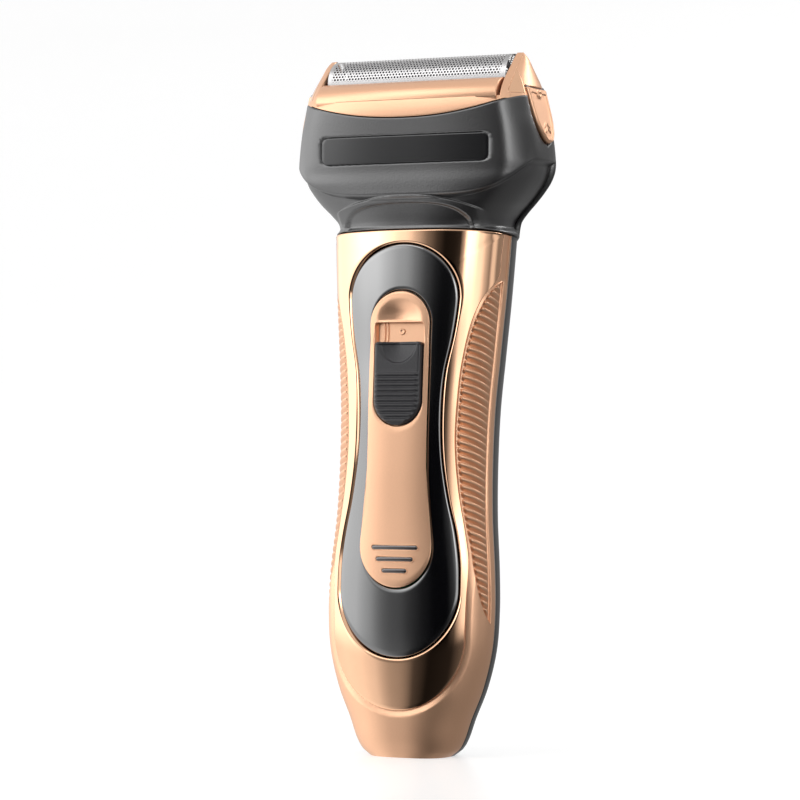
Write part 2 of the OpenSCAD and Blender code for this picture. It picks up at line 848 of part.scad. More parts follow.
// ---- Foil frame ----
module foil_frame() {
  color([0.87, 0.64, 0.47])
    difference() {
      union() {
        difference() {
          head_solid(0, 142, 147.4);
          head_solid(head_t + 0.1, 141, 146.3);
          box(-22.8, 22.8, head_y - 6.1, head_y + 6.1, 140, 150);
        }
        intersection() {
          cap_solid(0);
          union() {
            right_of(22.9);
            mirror([1, 0, 0])
              right_of(22.9);
          }
        }
      }
      difference() {
        under_frame(0.2);
        head_solid(head_t + 0.1, 141, 150);
      }
      for (m = [0, 1])
        mirror([m, 0, 0]) {
          difference() {
            box(23.6, 40, -20, 40, 147.3, 160);
            cap_solid(0.9);
            box(20, 40, head_y - 4.7, head_y + 4.7, 147, 160);
          }
          box(24.7, 40, head_y - 4.7, head_y + 4.7, 145, 151.8);
        }
      head_solid(head_t - 0.1, 140, 145.9);
    }
}
module corner_inserts() {
  color([0.78, 0.52, 0.35])
    for (m = [0, 1])
      mirror([m, 0, 0])
        difference() {
          intersection() {
            cap_solid(0.05);
            box(23.7, 40, -20, 40, 149, 158);
          }
          cap_solid(0.85);
          box(20, 40, head_y - 4.8, head_y + 4.8, 140, 160);
        }
}
module foil() {
  color([0.82, 0.83, 0.84])
    translate([0, head_y, 0]) {
      difference() {
        translate([-foil_hl, 0, foil_z])
          rotate([0, 90, 0])
            difference() {
              cylinder(r = foil_r, h = 2 * foil_hl, $fn = 96);
              translate([0, 0, -1])
                cylinder(r = foil_ri, h = 2 * foil_hl + 2, $fn = 96);
            }
        box(-50, 50, -20, 20, 140, foil_z);
      }
      box(-foil_hl, foil_hl, foil_ri, foil_r, 147.5, foil_z);
      box(-foil_hl, foil_hl, -foil_r, -foil_ri, 147.5, foil_z);
    }
}
module foil_bars() {
  color([0.90, 0.70, 0.54])
    translate([0, head_y, 0])
      for (s = [0, 1])
        mirror([0, s, 0])
          rotate([90, 0, 90])
            linear_extrude(44.8, center = true)
              polygon(concat([[-6, 147.45]],
                [for (k = [0:12]) [-6 - 5.2 * cos(7.5 * k), 147.45 + 4.9 * sin(7.5 * k)]]));
}
module tab_pins() {
  color([0.70, 0.71, 0.73])
    for (s = [-1, 1])
      translate([s * 26.6, head_y, 150.1])
        rotate([90, 0, 0])
          cylinder(r = 0.6, h = 9.4, center = true, $fn = 32);
}
module tab_side() {
  difference() {
    union() {
      translate([28.5 + tab_proud, head_y, 149.4])
        rotate([0, -tab_lean, 0])
          translate([-tab_t / 2, 0, 0])
            side_prism([[-4.4, 0.3], [-4.4, -6.4], [-3.4, -9.9], [-1.6, -12], [0, -12.5],
              [1.6, -12], [3.4, -9.9], [4.4, -6.4], [4.4, 0.3]], tab_t);
      translate([26.6, head_y, 150.1])
        rotate([90, 0, 0])
          cylinder(r = 1.35, h = 8.8, center = true, $fn = 40);
      box(26.4, 28.2, head_y - 4.4, head_y + 4.4, 148.9, 149.9);
      translate([28, head_y, 148.2])
        rotate([0, 90, 0])
          cylinder(r = 0.9, h = 1.7, $fn = 32);
    }
    translate([26.6, head_y, 150.1])
      rotate([90, 0, 0])
        cylinder(r = 0.66, h = 12, center = true, $fn = 32);
  }
}
module tab_right() {
  color([0.86, 0.63, 0.46])
    tab_side();
}
module tab_left() {
  color([0.86, 0.63, 0.46])
    mirror([1, 0, 0])
      tab_side();
}

front_housing();
rear_housing();
front_bezel();
front_panel();
switch_plate();
grip_left();
grip_right();
indicator_lenses();
inner_chassis();
battery();
battery_tabs();
circuit_board();
board_components();
indicator_leds();
slide_switch();
motor_can();
motor_end_cap();
motor_magnets();
charge_socket();
socket_pin();
neck_plate();
shaft_seal();
chassis_screws();
wiring();
power_switch();
switch_carriage();
switch_contact();
rotor_core();
motor_shaft();
eccentric_cam();
head_front_shell();
head_rear_shell();
label_panel();
head_deck();
drive_seal();
head_screws();
drive_bridge();
bridge_legs();
blade_holder();
cutter_blades();
cutter_spring();
foil_frame();
foil();
foil_bars();
corner_inserts();
tab_pins();
tab_left();
tab_right();
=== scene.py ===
"""Foil shaver: fine meshes, finishes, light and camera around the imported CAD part."""
import json
import math

import bmesh
import bpy
from mathutils import Matrix, Vector


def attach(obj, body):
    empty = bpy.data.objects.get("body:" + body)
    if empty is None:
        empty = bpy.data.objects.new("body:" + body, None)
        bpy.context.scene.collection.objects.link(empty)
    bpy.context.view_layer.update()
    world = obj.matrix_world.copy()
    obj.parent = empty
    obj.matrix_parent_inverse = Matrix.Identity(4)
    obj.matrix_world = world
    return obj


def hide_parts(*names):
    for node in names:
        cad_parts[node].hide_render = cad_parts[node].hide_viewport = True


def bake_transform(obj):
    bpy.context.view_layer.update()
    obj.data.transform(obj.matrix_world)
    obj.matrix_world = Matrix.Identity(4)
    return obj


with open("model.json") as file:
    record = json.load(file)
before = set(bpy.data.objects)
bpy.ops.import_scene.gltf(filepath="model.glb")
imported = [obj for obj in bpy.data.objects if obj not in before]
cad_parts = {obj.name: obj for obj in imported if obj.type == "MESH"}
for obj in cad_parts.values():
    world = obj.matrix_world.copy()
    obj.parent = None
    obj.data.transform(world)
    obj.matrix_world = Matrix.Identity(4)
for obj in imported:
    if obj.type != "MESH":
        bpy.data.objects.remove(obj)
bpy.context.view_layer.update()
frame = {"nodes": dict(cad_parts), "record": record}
MM = 0.001

# ---- Sizes of the object, in millimetres ----
# Middle of the head from front to back, and of the handle's lower end
HEAD_Y, BASE_Y = 2.2, -4.6
# Sloping joint between handle and head, the gap beside it, and the hidden top of the handle's shells
SEAM_Z, SEAM_TILT, SEAM_GAP, SHELL_TOP = 117.3, math.radians(6), 0.15, 119.2
# Exponents of the handle's outline in front and behind, and the thickness of its trim
FRONT_N, REAR_N, SKIN = 2.8, 2.4, 1.15
# Height, half width, depth in front, depth behind, and shift of the middle from HEAD_Y
HANDLE = [
    (0, 9.4, 7.5, 7.8, -6.8), (1.6, 11.5, 8, 8.4, -6.8), (4, 12.9, 8.6, 9.2, -6.8),
    (8.4, 14.5, 9.1, 9.9, -6.8), (15.3, 17.4, 9.6, 10.7, -6.8), (24, 19.6, 10, 11.2, -6.7),
    (33, 20.2, 10.2, 11.3, -6.4), (42, 19.9, 10.4, 11.4, -5.9), (54, 18.75, 11.2, 11.7, -4.6),
    (66, 18.3, 11.9, 12, -3.5), (78, 18.45, 12.4, 12.2, -2.5), (90, 19.3, 12.6, 12.5, -1.5),
    (104, 20.4, 12.8, 12.8, -0.5), (120, 21.4, 12.8, 13, 0.6)]
# Height, half width, half depth, exponent of the outline, and shift of the middle from HEAD_Y
HEAD = [
    (114, 21, 12.8, 2.8, 0.4), (120.2, 21.9, 12.7, 2.8, 0.3), (122.4, 23.5, 12.6, 3, 0),
    (124.7, 25.8, 12.4, 3.2, -0.3), (127, 27.8, 12.3, 3.4, -0.3), (129.3, 29.4, 12.3, 3.6, -0.2),
    (131.6, 30.3, 12.3, 3.6, 0), (134, 30.5, 12.3, 3.6, 0), (140.7, 29.75, 12.2, 3.6, -0.1),
    (145.2, 28.8, 12.1, 3.6, -0.2), (150, 27.8, 12, 3.6, -0.2)]
# The foil frame and its end caps, in the same columns
CAP = [
    (143, 29.3, 12.15, 3.6, -0.2), (146, 28.65, 12.05, 3.6, -0.2), (149, 27.95, 11.5, 3.2, -0.1),
    (151, 27.4, 10.8, 2.9, 0), (153, 26.7, 9.6, 2.7, 0), (155, 26, 7.7, 2.5, 0), (156.6, 25.4, 5.6, 2.4, 0),
    (157.6, 24.8, 3.7, 2.3, 0), (158.3, 24.2, 1.7, 2.2, 0)]
# Height and half width, across the front, of each trim outline
BEZEL_HALF = [
    (10, 16), (26, 16.1), (35, 16.4), (44, 16.8), (50, 16), (60, 14.3), (71, 13.4),
    (83, 13.9), (90, 14.7), (97, 16.1), (102.7, 18), (107, 20.1), (112, 20.6), (125, 21.5)]
GRIP_HALF = [
    (29, 20.3), (35, 19), (41, 17.9), (47, 16.9), (54, 15.5), (60.8, 14.5),
    (71, 13.7), (83, 14.2), (90, 15), (97, 16.5), (102.7, 18.5), (107, 20.6)]
PANEL_HALF = [
    (22, 15), (42, 15.2), (50, 14.2), (58, 12.3), (67, 10.9), (76, 10.5), (86, 11),
    (95, 12.8), (103, 13.8), (116, 14.2)]
PLATE_HALF = [(38, 8.5), (48, 8.5), (57, 7.4), (67, 7.05), (80, 7.1), (105, 7.3)]
# Lower and upper ends of the trim outlines
BEZEL_Z0, PANEL_Z0, PANEL_Z1, PLATE_Z0, PLATE_Z1 = 10.7, 22.5, 115.4, 38.2, 104.7
# Height and half length of the three slots
INDICATORS = [(47.2, 5.4), (44.6, 4.35), (42, 2.9)]
# Side grips: ends, how far their back edge lies in front of the seam, and their ribs
GRIP_Z0, GRIP_Z1, GRIP_BACK = 29.6, 107, 2.2
RIB_PITCH, RIB_TILT = 1.6, math.radians(24)
# Switch: middle of its travel, slope of its slide, and half widths of knob and window
SWITCH_Z, SLIDE_TILT = 86, math.radians(3.5)
KNOB_HW, WINDOW_HW = 5.75, 5.95
# Foil: radius, height of its axis and half length
FOIL_R, FOIL_Z, FOIL_HL = 5.85, 152.3, 22.3
# Lean of the release tongues
TAB_LEAN = math.radians(16)
# Head: slant of the corner facets, half width of the flat sides, and bulge of the face
FACET, SIDE_FLAT, CROWN = math.radians(29), 4.5, 0.4


# ---- Shape functions ----
def smooth(table, z, c=1):
    """Smooth value of a table's column at height z."""
    i = 0
    while i < len(table) - 2 and z > table[i + 1][0]:
        i += 1
    h = table[i + 1][0] - table[i][0]
    u = min(1.0, max(0.0, (z - table[i][0]) / h))

    def slope(k):
        a, b = max(k - 1, 0), min(k + 1, len(table) - 1)
        return (table[b][c] - table[a][c]) / (table[b][0] - table[a][0])

    return ((2 * u**3 - 3 * u * u + 1) * table[i][c] + (u**3 - 2 * u * u + u) * h * slope(i)
            + (3 * u * u - 2 * u**3) * table[i + 1][c] + (u**3 - u * u) * h * slope(i + 1))


def step(lo, hi, v):
    """Smooth step: 0 up to lo, 1 from hi on."""
    t = min(1.0, max(0.0, (v - lo) / (hi - lo)))
    return t * t * (3 - 2 * t)


def round_end(t):
    """Quarter circle from 0 to 1, for the ends of rounded outlines."""
    return 0.0 if t <= 0 else 1.0 if t >= 1 else math.sqrt(1 - (1 - t) ** 2)


def rise(z0, z1, n):
    """Values from z0 to z1, closer together at both ends."""
    return [z0 + (z1 - z0) * (1 - math.cos(math.pi * k / n)) / 2 for k in range(n + 1)]


def even(a, b, n):
    """n equal steps from a to b."""
    return [a + (b - a) * k / n for k in range(n + 1)]


def polar(a, d, n, theta):
    """Radius of a superellipse with half axes a and d and exponent n."""
    c, s = abs(math.cos(theta)) / a, abs(math.sin(theta)) / d
    return (c**n + s**n) ** (-1 / n)


def handle_cy(z):
    """The handle's middle, front to back, at height z."""
    return HEAD_Y + smooth(HANDLE, z, 4)


def handle_point(z, theta, inset=0.0):
    """A point on the handle. Theta is 0 at the right, 90 degrees at the front, negative behind."""
    a = smooth(HANDLE, z, 1) - inset
    front = math.sin(theta) >= 0
    d = smooth(HANDLE, z, 2 if front else 3) - inset
    r = polar(a, d, FRONT_N if front else REAR_N, theta)
    return (r * math.cos(theta), handle_cy(z) - r * math.sin(theta), z)


def handle_theta(z, x):
    """The front angle at which the handle's surface is x from the middle plane."""
    a, d = smooth(HANDLE, z, 1), smooth(HANDLE, z, 2)
    q = min(0.9999, abs(x) / a)
    y = d * (1 - q**FRONT_N) ** (1 / FRONT_N)
    return math.atan2(y, x)


def seam_height(y):
    """The sloping joint between handle and head."""
    return SEAM_Z - math.tan(SEAM_TILT) * (y - HEAD_Y)


# Half widths of the trim outlines at height z
def bezel_hw(z):
    return smooth(BEZEL_HALF, z) * round_end((z - BEZEL_Z0) / 16)


def panel_hw(z):
    return (smooth(PANEL_HALF, z) * round_end((z - PANEL_Z0) / 15)
            * round_end((PANEL_Z1 - z) / 13))


def plate_hw(z):
    return (smooth(PLATE_HALF, z) * round_end((z - PLATE_Z0) / 9)
            * round_end((PLATE_Z1 - z) / 7.5))


def frame_edge(x):
    """The curved joint between the head's shells and the foil frame."""
    return 143.7 + 4.7 * (min(abs(x), 28) / 28) ** 2.2


def facet_radius(a, d, theta, k=26):
    """Flat front and sides joined by slanting corner facets; a higher k makes crisper edges."""
    c, s = abs(math.cos(theta)), abs(math.sin(theta))
    flat = min(SIDE_FLAT, 0.45 * d)
    across = min(1.0, d * c / max(s, 0.001) / a)
    d -= CROWN * across**2
    reach = a * math.cos(FACET) + flat * math.sin(FACET)
    facet = (c * math.cos(FACET) + s * math.sin(FACET)) / reach
    return ((s / d) ** k + (c / a) ** k + facet**k) ** (-1 / k)


def corner_radius(a, d, n, theta):
    """Section of the head: between a faceted and a soft round outline."""
    return 0.45 * facet_radius(a, d, theta) + 0.55 * polar(a, d, n, theta)


def head_radius(z, theta, inset=0.0):
    """Head section with its soft corners, melting into the round neck below."""
    a, d, n = smooth(HEAD, z, 1) - inset, smooth(HEAD, z, 2) - inset, smooth(HEAD, z, 3)
    w = step(121, 131, z)
    return polar(a, d, n, theta) * (1 - w) + corner_radius(a, d, n, theta) * w


def head_point(z, theta, inset=0.0):
    """A point on the head, with theta as on the handle."""
    r = head_radius(z, theta, inset)
    cy = HEAD_Y + smooth(HEAD, z, 4)
    return (r * math.cos(theta), cy - r * math.sin(theta), z)


# ---- Mesh helpers ----
def make_mesh(name, verts, faces):
    """A smooth-shaded mesh from points in millimetres."""
    me = bpy.data.meshes.new(name)
    me.from_pydata([(x * MM, y * MM, z * MM) for x, y, z in verts], [], faces)
    me.validate()
    me.shade_smooth()
    obj = bpy.data.objects.new(name, me)
    bpy.context.scene.collection.objects.link(obj)
    return obj


def grid(name, rows, wrap=False, caps=False):
    """Quads between rows of points; wrap joins each row's ends."""
    n = len(rows[0])
    verts = [p for r in rows for p in r]
    last = n if wrap else n - 1
    faces = [(i * n + j, i * n + (j + 1) % n, (i + 1) * n + (j + 1) % n, (i + 1) * n + j)
             for i in range(len(rows) - 1) for j in range(last)]
    if caps:
        faces.append(tuple(range(n))[::-1])
        faces.append(tuple(len(rows) * n - n + k for k in range(n)))
    return make_mesh(name, verts, faces)


def join(name, objs):
    """One mesh from several, in millimetre-true place."""
    verts, faces = [], []
    for o in objs:
        base = len(verts)
        verts += [tuple(c / MM for c in (o.matrix_world @ v.co)) for v in o.data.vertices]
        faces += [tuple(base + i for i in p.vertices) for p in o.data.polygons]
        bpy.data.objects.remove(o)
    return make_mesh(name, verts, faces)


def weld(obj, d=0.004):
    """Joins points that meet, and faces outwards."""
    bm = bmesh.new()
    bm.from_mesh(obj.data)
    bmesh.ops.remove_doubles(bm, verts=bm.verts, dist=d * MM)
    bmesh.ops.recalc_face_normals(bm, faces=bm.faces)
    bm.to_mesh(obj.data)
    bm.free()
    obj.data.shade_smooth()
    return obj


# Rounded edge of a trim piece: distance in from its outline and drop, as shares of the radius
FILLET = [(0.0, 1.0), (0.134, 0.5), (0.5, 0.134), (1.0, 0.0)]


def band(inner, outer, mid, r0, r1, lift=0.0, crown=None):
    """Rows of a trim piece between two outlines of (z, theta), with rounded edges that turn in."""
    rows = []
    gaps = [max(0.05, math.dist(handle_point(*a), handle_point(*b))) for a, b in zip(inner, outer)]
    profile = [("in", 0.0, SKIN)] + [("in", r0 * d, r0 * i) for d, i in FILLET]
    profile += [("mid", k / mid, 0.0) for k in range(1, mid)]
    profile += [("out", r1 * d, r1 * i) for d, i in reversed(FILLET)] + [("out", 0.0, SKIN)]
    for kind, d, i in profile:
        row = []
        for k, (a, b) in enumerate(zip(inner, outer)):
            w = gaps[k]
            e0, e1 = min(r0 / w, 0.45), min(r1 / w, 0.45)
            s = (min(d / w, 0.45) if kind == "in" else 1 - min(d / w, 0.45) if kind == "out"
                 else e0 + (1 - e0 - e1) * d)
            z, t = a[0] + (b[0] - a[0]) * s, a[1] + (b[1] - a[1]) * s
            extra = crown(z, t) if crown and kind == "mid" else 0.0
            row.append(handle_point(z, t, i + lift + extra))
        rows.append(row)
    return rows


def loop(hw, z0, z1, n, grow=0.0):
    """A closed outline of half width hw(z) round the front's middle line, as (z, theta)."""
    mid = (z0 + z1) / 2
    k = 1 + grow / (mid - z0)
    zs = rise(z0, z1, n)
    right = [(mid + (z - mid) * k, hw(z) + (grow if 0 < i < n else 0)) for i, z in enumerate(zs)]
    out = [(z, handle_theta(z, x)) for z, x in right]
    out += [(z, math.pi - handle_theta(z, x)) for z, x in reversed(right[1:-1])]
    return out


def tilt_frame():
    """The switch's own frame: x across, y into the handle and z along the slide."""
    d = smooth(HANDLE, SWITCH_Z, 2)
    return (Matrix.Translation((0, handle_cy(SWITCH_Z) - d, SWITCH_Z))
            @ Matrix.Rotation(-SLIDE_TILT, 4, "X"))


SWITCH = tilt_frame()


def at_switch(x, y, z):
    """A point given in the switch's frame."""
    return tuple(SWITCH @ Vector((x, y, z)))


# ---- Finishes ----
def finish_of(name, color, metallic=0.0, rough=0.4, grain=600.0, bump=0.02, wear=0.06,
              coat=0.0, tint=0.03, stretch=(1, 1, 1)):
    """A procedural finish: fine grain in the bump, and slow changes of roughness and tone."""
    m = bpy.data.materials.new(name)
    m.use_nodes = True
    nt = m.node_tree
    bsdf = nt.nodes["Principled BSDF"]
    bsdf.inputs["Metallic"].default_value = metallic
    bsdf.inputs["Coat Weight"].default_value = coat
    bsdf.inputs["Coat Roughness"].default_value = 0.04
    coords = nt.nodes.new("ShaderNodeTexCoord")
    mapping = nt.nodes.new("ShaderNodeMapping")
    mapping.inputs["Scale"].default_value = stretch
    nt.links.new(coords.outputs["Object"], mapping.inputs["Vector"])

    def noise(scale, detail):
        n = nt.nodes.new("ShaderNodeTexNoise")
        n.inputs["Scale"].default_value = scale
        n.inputs["Detail"].default_value = detail
        nt.links.new(mapping.outputs["Vector"], n.inputs["Vector"])
        return n.outputs["Fac"]

    slow, fine = noise(45.0, 4.0), noise(grain, 3.0)
    spread = nt.nodes.new("ShaderNodeMapRange")
    spread.inputs["To Min"].default_value = max(0.01, rough - wear)
    spread.inputs["To Max"].default_value = rough + wear
    nt.links.new(slow, spread.inputs["Value"])
    nt.links.new(spread.outputs["Result"], bsdf.inputs["Roughness"])
    mix = nt.nodes.new("ShaderNodeMix")
    mix.data_type = "RGBA"  # inputs 6 and 7 are then its two colours
    mix.inputs[6].default_value = (*[c * (1 - tint) for c in color], 1)
    mix.inputs[7].default_value = (*[min(1, c * (1 + tint)) for c in color], 1)
    nt.links.new(fine, mix.inputs[0])
    nt.links.new(mix.outputs[2], bsdf.inputs["Base Color"])
    if bump > 0:
        b = nt.nodes.new("ShaderNodeBump")
        b.inputs["Strength"].default_value = bump
        b.inputs["Distance"].default_value = 0.0002
        nt.links.new(fine, b.inputs["Height"])
        nt.links.new(b.outputs["Normal"], bsdf.inputs["Normal"])
    return m


def denser(m, ior):
    """Stronger reflections for a clear or lacquered finish."""
    m.node_tree.nodes["Principled BSDF"].inputs["IOR"].default_value = ior


GOLD = (0.86, 0.52, 0.33)
FINISHES = {
    "satin_gold": finish_of("satin_gold", (0.88, 0.52, 0.33), 0.92, 0.38, 2500, 0.10, 0.04),
    "gloss_gold": finish_of("gloss_gold", GOLD, 1.0, 0.075, 300, 0.0, 0.02),
    "dark_shell": finish_of("dark_shell", (0.008, 0.0075, 0.0085), 0.0, 0.31, 2300, 0.12, 0.04,
                            tint=0.12),
    "black_gloss": finish_of("black_gloss", (0.003, 0.003, 0.004), 0.0, 0.10, 300, 0.0, 0.02,
                             coat=0.6),
    "label_gloss": finish_of("label_gloss", (0.010, 0.010, 0.011), 0.0, 0.14, 300, 0.0, 0.03),
    "switch_grey": finish_of("switch_grey", (0.030, 0.029, 0.032), 0.0, 0.34, 2500, 0.15, 0.05),
    "indicator": finish_of("indicator", (0.16, 0.15, 0.15), 1.0, 0.16, 800, 0.0, 0.04),
    "inner_plastic": finish_of("inner_plastic", (0.62, 0.61, 0.57), 0.0, 0.5, 1800, 0.15),
    "deck_plastic": finish_of("deck_plastic", (0.050, 0.050, 0.054), 0.0, 0.48, 2200, 0.2),
    "white_plastic": finish_of("white_plastic", (0.82, 0.80, 0.75), 0.0, 0.3, 1500, 0.08),
    "cell_wrap": finish_of("cell_wrap", (0.035, 0.19, 0.09), 0.0, 0.24, 900, 0.05),
    "nickel": finish_of("nickel", (0.62, 0.60, 0.56), 1.0, 0.3, 1500, 0.1, stretch=(1, 1, 8)),
    "board": finish_of("board", (0.01, 0.13, 0.05), 0.0, 0.28, 1800, 0.15),
    "component": finish_of("component", (0.025, 0.025, 0.028), 0.0, 0.45, 2500, 0.2),
    "led": finish_of("led", (0.85, 0.80, 0.62), 0.0, 0.15, 800, 0.0),
    "steel": finish_of("steel", (0.34, 0.34, 0.36), 1.0, 0.24, 1800, 0.12, stretch=(6, 1, 1)),
    "zinc_can": finish_of("zinc_can", (0.55, 0.56, 0.58), 1.0, 0.32, 900, 0.1, 0.1),
    "magnet": finish_of("magnet", (0.06, 0.06, 0.065), 0.4, 0.5, 1500, 0.3),
    "copper": finish_of("copper", (0.55, 0.25, 0.12), 1.0, 0.3, 1500, 0.3, stretch=(1, 1, 6)),
    "brass_contact": finish_of("brass_contact", (0.72, 0.52, 0.22), 1.0, 0.25, 1500, 0.08),
    "black_rubber": finish_of("black_rubber", (0.020, 0.020, 0.021), 0.0, 0.6, 1800, 0.25),
    "foil_steel": finish_of("foil_steel", (0.56, 0.55, 0.55), 1.0, 0.34, 1500, 0.06),
    "wire": finish_of("wire", (0.35, 0.02, 0.02), 0.0, 0.38, 900, 0.05),
    "floor": finish_of("floor", (0.42, 0.42, 0.42), 0.0, 0.35, 60, 0.0, 0.05, tint=0.01),
}
denser(FINISHES["black_gloss"], 2.5)
denser(FINISHES["dark_shell"], 2.15)
denser(FINISHES["label_gloss"], 1.7)
SLOTS = {s["node"]: s["material_slot"] for s in frame["record"]["subparts"]}
BODY_OF = {n: b for b, nodes in frame["record"]["behaviour"]["bodies"].items() for n in nodes}


def place(obj, node):
    """Gives a piece its finish and its body, and lets it stand for its CAD node."""
    obj.data.materials.clear()
    obj.data.materials.append(FINISHES[SLOTS[node]])
    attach(obj, BODY_OF[node])
    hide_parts(node)
    return obj


# ---- Handle ----
def shell_distance(x, z):
    """Distance outwards from the glossy ring's outline on the front."""
    if z < BEZEL_Z0 + 16:
        return math.hypot(x, z - BEZEL_Z0 - 16) - bezel_hw(BEZEL_Z0 + 16)
    return abs(x) - bezel_hw(z)


def grip_angles(z):
    """Back and front edges of the side grip at height z."""
    back = math.atan2(GRIP_BACK, smooth(HANDLE, z, 1))
    if not GRIP_Z0 < z < GRIP_Z1:
        return back, back
    return back, max(back, handle_theta(z, smooth(GRIP_HALF, z)))


def underside(t0, t1):
    """Flat base from angle t0 to t1, between the outline and the charge inlet's hole."""
    hole_r, hole_depth = 3.8, 2
    angles = even(t0, t1, 60)
    inner = [(hole_r * math.cos(t), BASE_Y - hole_r * math.sin(t)) for t in angles]
    outer = [handle_point(0.0, t)[:2] for t in angles]
    rows = [[(x, y, 0.0) for x, y in outer]]
    for f in (0.3, 0.65, 1.0):
        rows.append([(a[0] + (b[0] - a[0]) * f, a[1] + (b[1] - a[1]) * f, 0.0)
                     for a, b in zip(outer, inner)])
    rows.append([(x, y, hole_depth) for x, y in inner])
    return grid("underside", rows)


def shell_end(rows):
    """Trims a handle shell's rows to the sloping seam, and adds the rim that turns in there."""
    out = [[(x, y, min(z, seam_height(y) - SEAM_GAP)) for x, y, z in row] for row in rows]
    cy = handle_cy(119)
    out.append([(x * 0.93, cy + (y - cy) * 0.9, z) for x, y, z in out[-1]])
    return out


def front_housing():
    """Satin front shell: side bands, strips round the grips and the whole lower end."""
    bezel_gap, least_hw = 0.12, 0.02
    # The rounded step down to the glossy ring: depth, where it starts and how wide it is
    drop, reach, width = 0.5, 1.25, 1.1
    rows = []
    for z in rise(0, BEZEL_Z0, 26)[:-1] + rise(BEZEL_Z0, SHELL_TOP, 190):
        edge = math.pi / 2
        if z > BEZEL_Z0:
            edge = handle_theta(z, max(bezel_hw(z) + bezel_gap, least_hw))
        t1, t0 = grip_angles(z)
        t0 = min(t0, edge)
        sunk = 1.0 if t0 - t1 > 0.002 else 0.0
        # Stops of (angle, inset): rear edge, strip behind the grip, the grip's seat, front strip
        stops = [(0.003, 1.6), (0.003, 0.22), (0.007, 0.06)]
        stops += [(0.014 + (t1 - 0.014) * s, 0) for s in even(0, 1, 6)]
        stops += [(t1 + 0.002 * sunk, 0.12 * sunk), (t1 + 0.002 * sunk, sunk)]
        stops += [(t1 + (t0 - t1) * s, sunk) for s in even(0, 1, 10)]
        stops += [(t0 - 0.002 * sunk, 0.12 * sunk), (t0, 0)]
        stops += [(t0 + (edge - t0) * s, 0) for s in even(0, 1, 30)[1:]]
        stops += [(edge, 0.6 if z > BEZEL_Z0 else 0)]
        row = []
        for t, inset in stops:
            x = handle_point(z, t)[0]
            if inset == 0:
                inset = drop * max(0.0, min(1.0, (reach - shell_distance(x, z)) / width))
            row.append(handle_point(z, t, inset))
        rows.append(row)
    rows = shell_end(rows)
    half = grid("half", rows)
    other = grid("half", [[(-x, y, z) for x, y, z in r] for r in rows])
    base = underside(0.01, math.pi - 0.01)
    return place(weld(join("front_housing_fine", [half, other, base])), "front_housing")


def rear_housing():
    """Dark rear shell, from seam to seam behind."""
    rows = []
    for z in rise(0, 10, 12)[:-1] + even(10, SHELL_TOP, 110):
        stops = [(-0.004, 1.6), (-0.004, 0.22), (-0.008, 0.06)]
        stops += [(t, 0) for t in even(-0.016, -math.pi + 0.016, 90)]
        stops += [(-math.pi + 0.008, 0.06), (-math.pi + 0.004, 0.22), (-math.pi + 0.004, 1.6)]
        rows.append([handle_point(z, t, inset) for t, inset in stops])
    shell = grid("shell", shell_end(rows))
    base = underside(-0.01, -math.pi + 0.01)
    return place(weld(join("rear_housing_fine", [shell, base])), "rear_housing")


def front_bezel():
    """Glossy ring: from the panel's edge to the satin bands, up to the seam."""
    # Steps up a side and across half the top, the outline's top, and the panel height it meets
    n, m, top, corner = 90, 30, 117.5, 109.5
    outer, inner = [], []
    mid, gap = (PANEL_Z0 + PANEL_Z1) / 2, 0.2
    spread = 1 + gap / (PANEL_Z1 - mid)

    def rim(z, x):
        q = mid + (z - mid) * spread
        return q, handle_theta(q, x)

    for z in rise(BEZEL_Z0, top, n):
        q = PANEL_Z0 + (corner - PANEL_Z0) * (z - BEZEL_Z0) / (top - BEZEL_Z0)
        outer.append((z, handle_theta(z, bezel_hw(z))))
        inner.append(rim(q, panel_hw(q) + gap if q > PANEL_Z0 else 0))
    w = bezel_hw(top)
    for k in range(1, m + 1):
        x = w * (1 - k / m)
        y = handle_point(top, handle_theta(top, x))[1]
        outer.append((seam_height(y) - SEAM_GAP, handle_theta(top, x)))
        q = corner + (PANEL_Z1 - corner) * math.sin(math.pi / 2 * k / m)
        inner.append(rim(q, panel_hw(q) + gap if k < m else 0))
    outer = outer + [(z, math.pi - t) for z, t in reversed(outer[1:-1])]
    inner = inner + [(z, math.pi - t) for z, t in reversed(inner[1:-1])]
    rows = band(inner, outer, mid=16, r0=0.35, r1=0.3)
    return place(weld(grid("front_bezel_fine", rows, wrap=True)), "front_bezel")


def front_panel():
    """Black glossy panel between the bezel and the switch plate."""
    inner = loop(plate_hw, PLATE_Z0, PLATE_Z1, 90, 0.3)
    outer = loop(panel_hw, PANEL_Z0, PANEL_Z1, 90)
    rows = band(inner, outer, mid=14, r0=0.2, r1=0.55, lift=0.28)
    return place(weld(grid("front_panel_fine", rows, wrap=True)), "front_panel")


def window_loop(n, grow=0.0):
    """The switch window's outline as (z, theta), matched to a loop of n steps a side."""
    lo, hi, hw = 74.35 - grow, 97.55 + grow, WINDOW_HW + grow

    def half(z):
        low = round_end((z - lo) / hw)
        r = 0.7
        high = hw - r + r * round_end((hi - z) / r)
        return min(hw * low, high)

    zs = rise(lo, hi, n)
    right = [(z, half(z)) for z in zs]
    right[-1] = (hi, 0.0)
    right[-2] = (hi, hw * 0.45)
    right[-3] = (hi, hw - 0.7)
    out = [(z, handle_theta(z, x)) for z, x in right]
    return out + [(z, math.pi - t) for z, t in reversed(out[1:-1])]


# Raised guide marks on the plate above the knob: place and half sizes in the switch's frame
PLATE_MARKS = [(0.2, 9.6, 0.7, 0.7), (-4.2, 9.4, 0.25, 2.4), (-3.4, 9.4, 0.25, 2.4)]


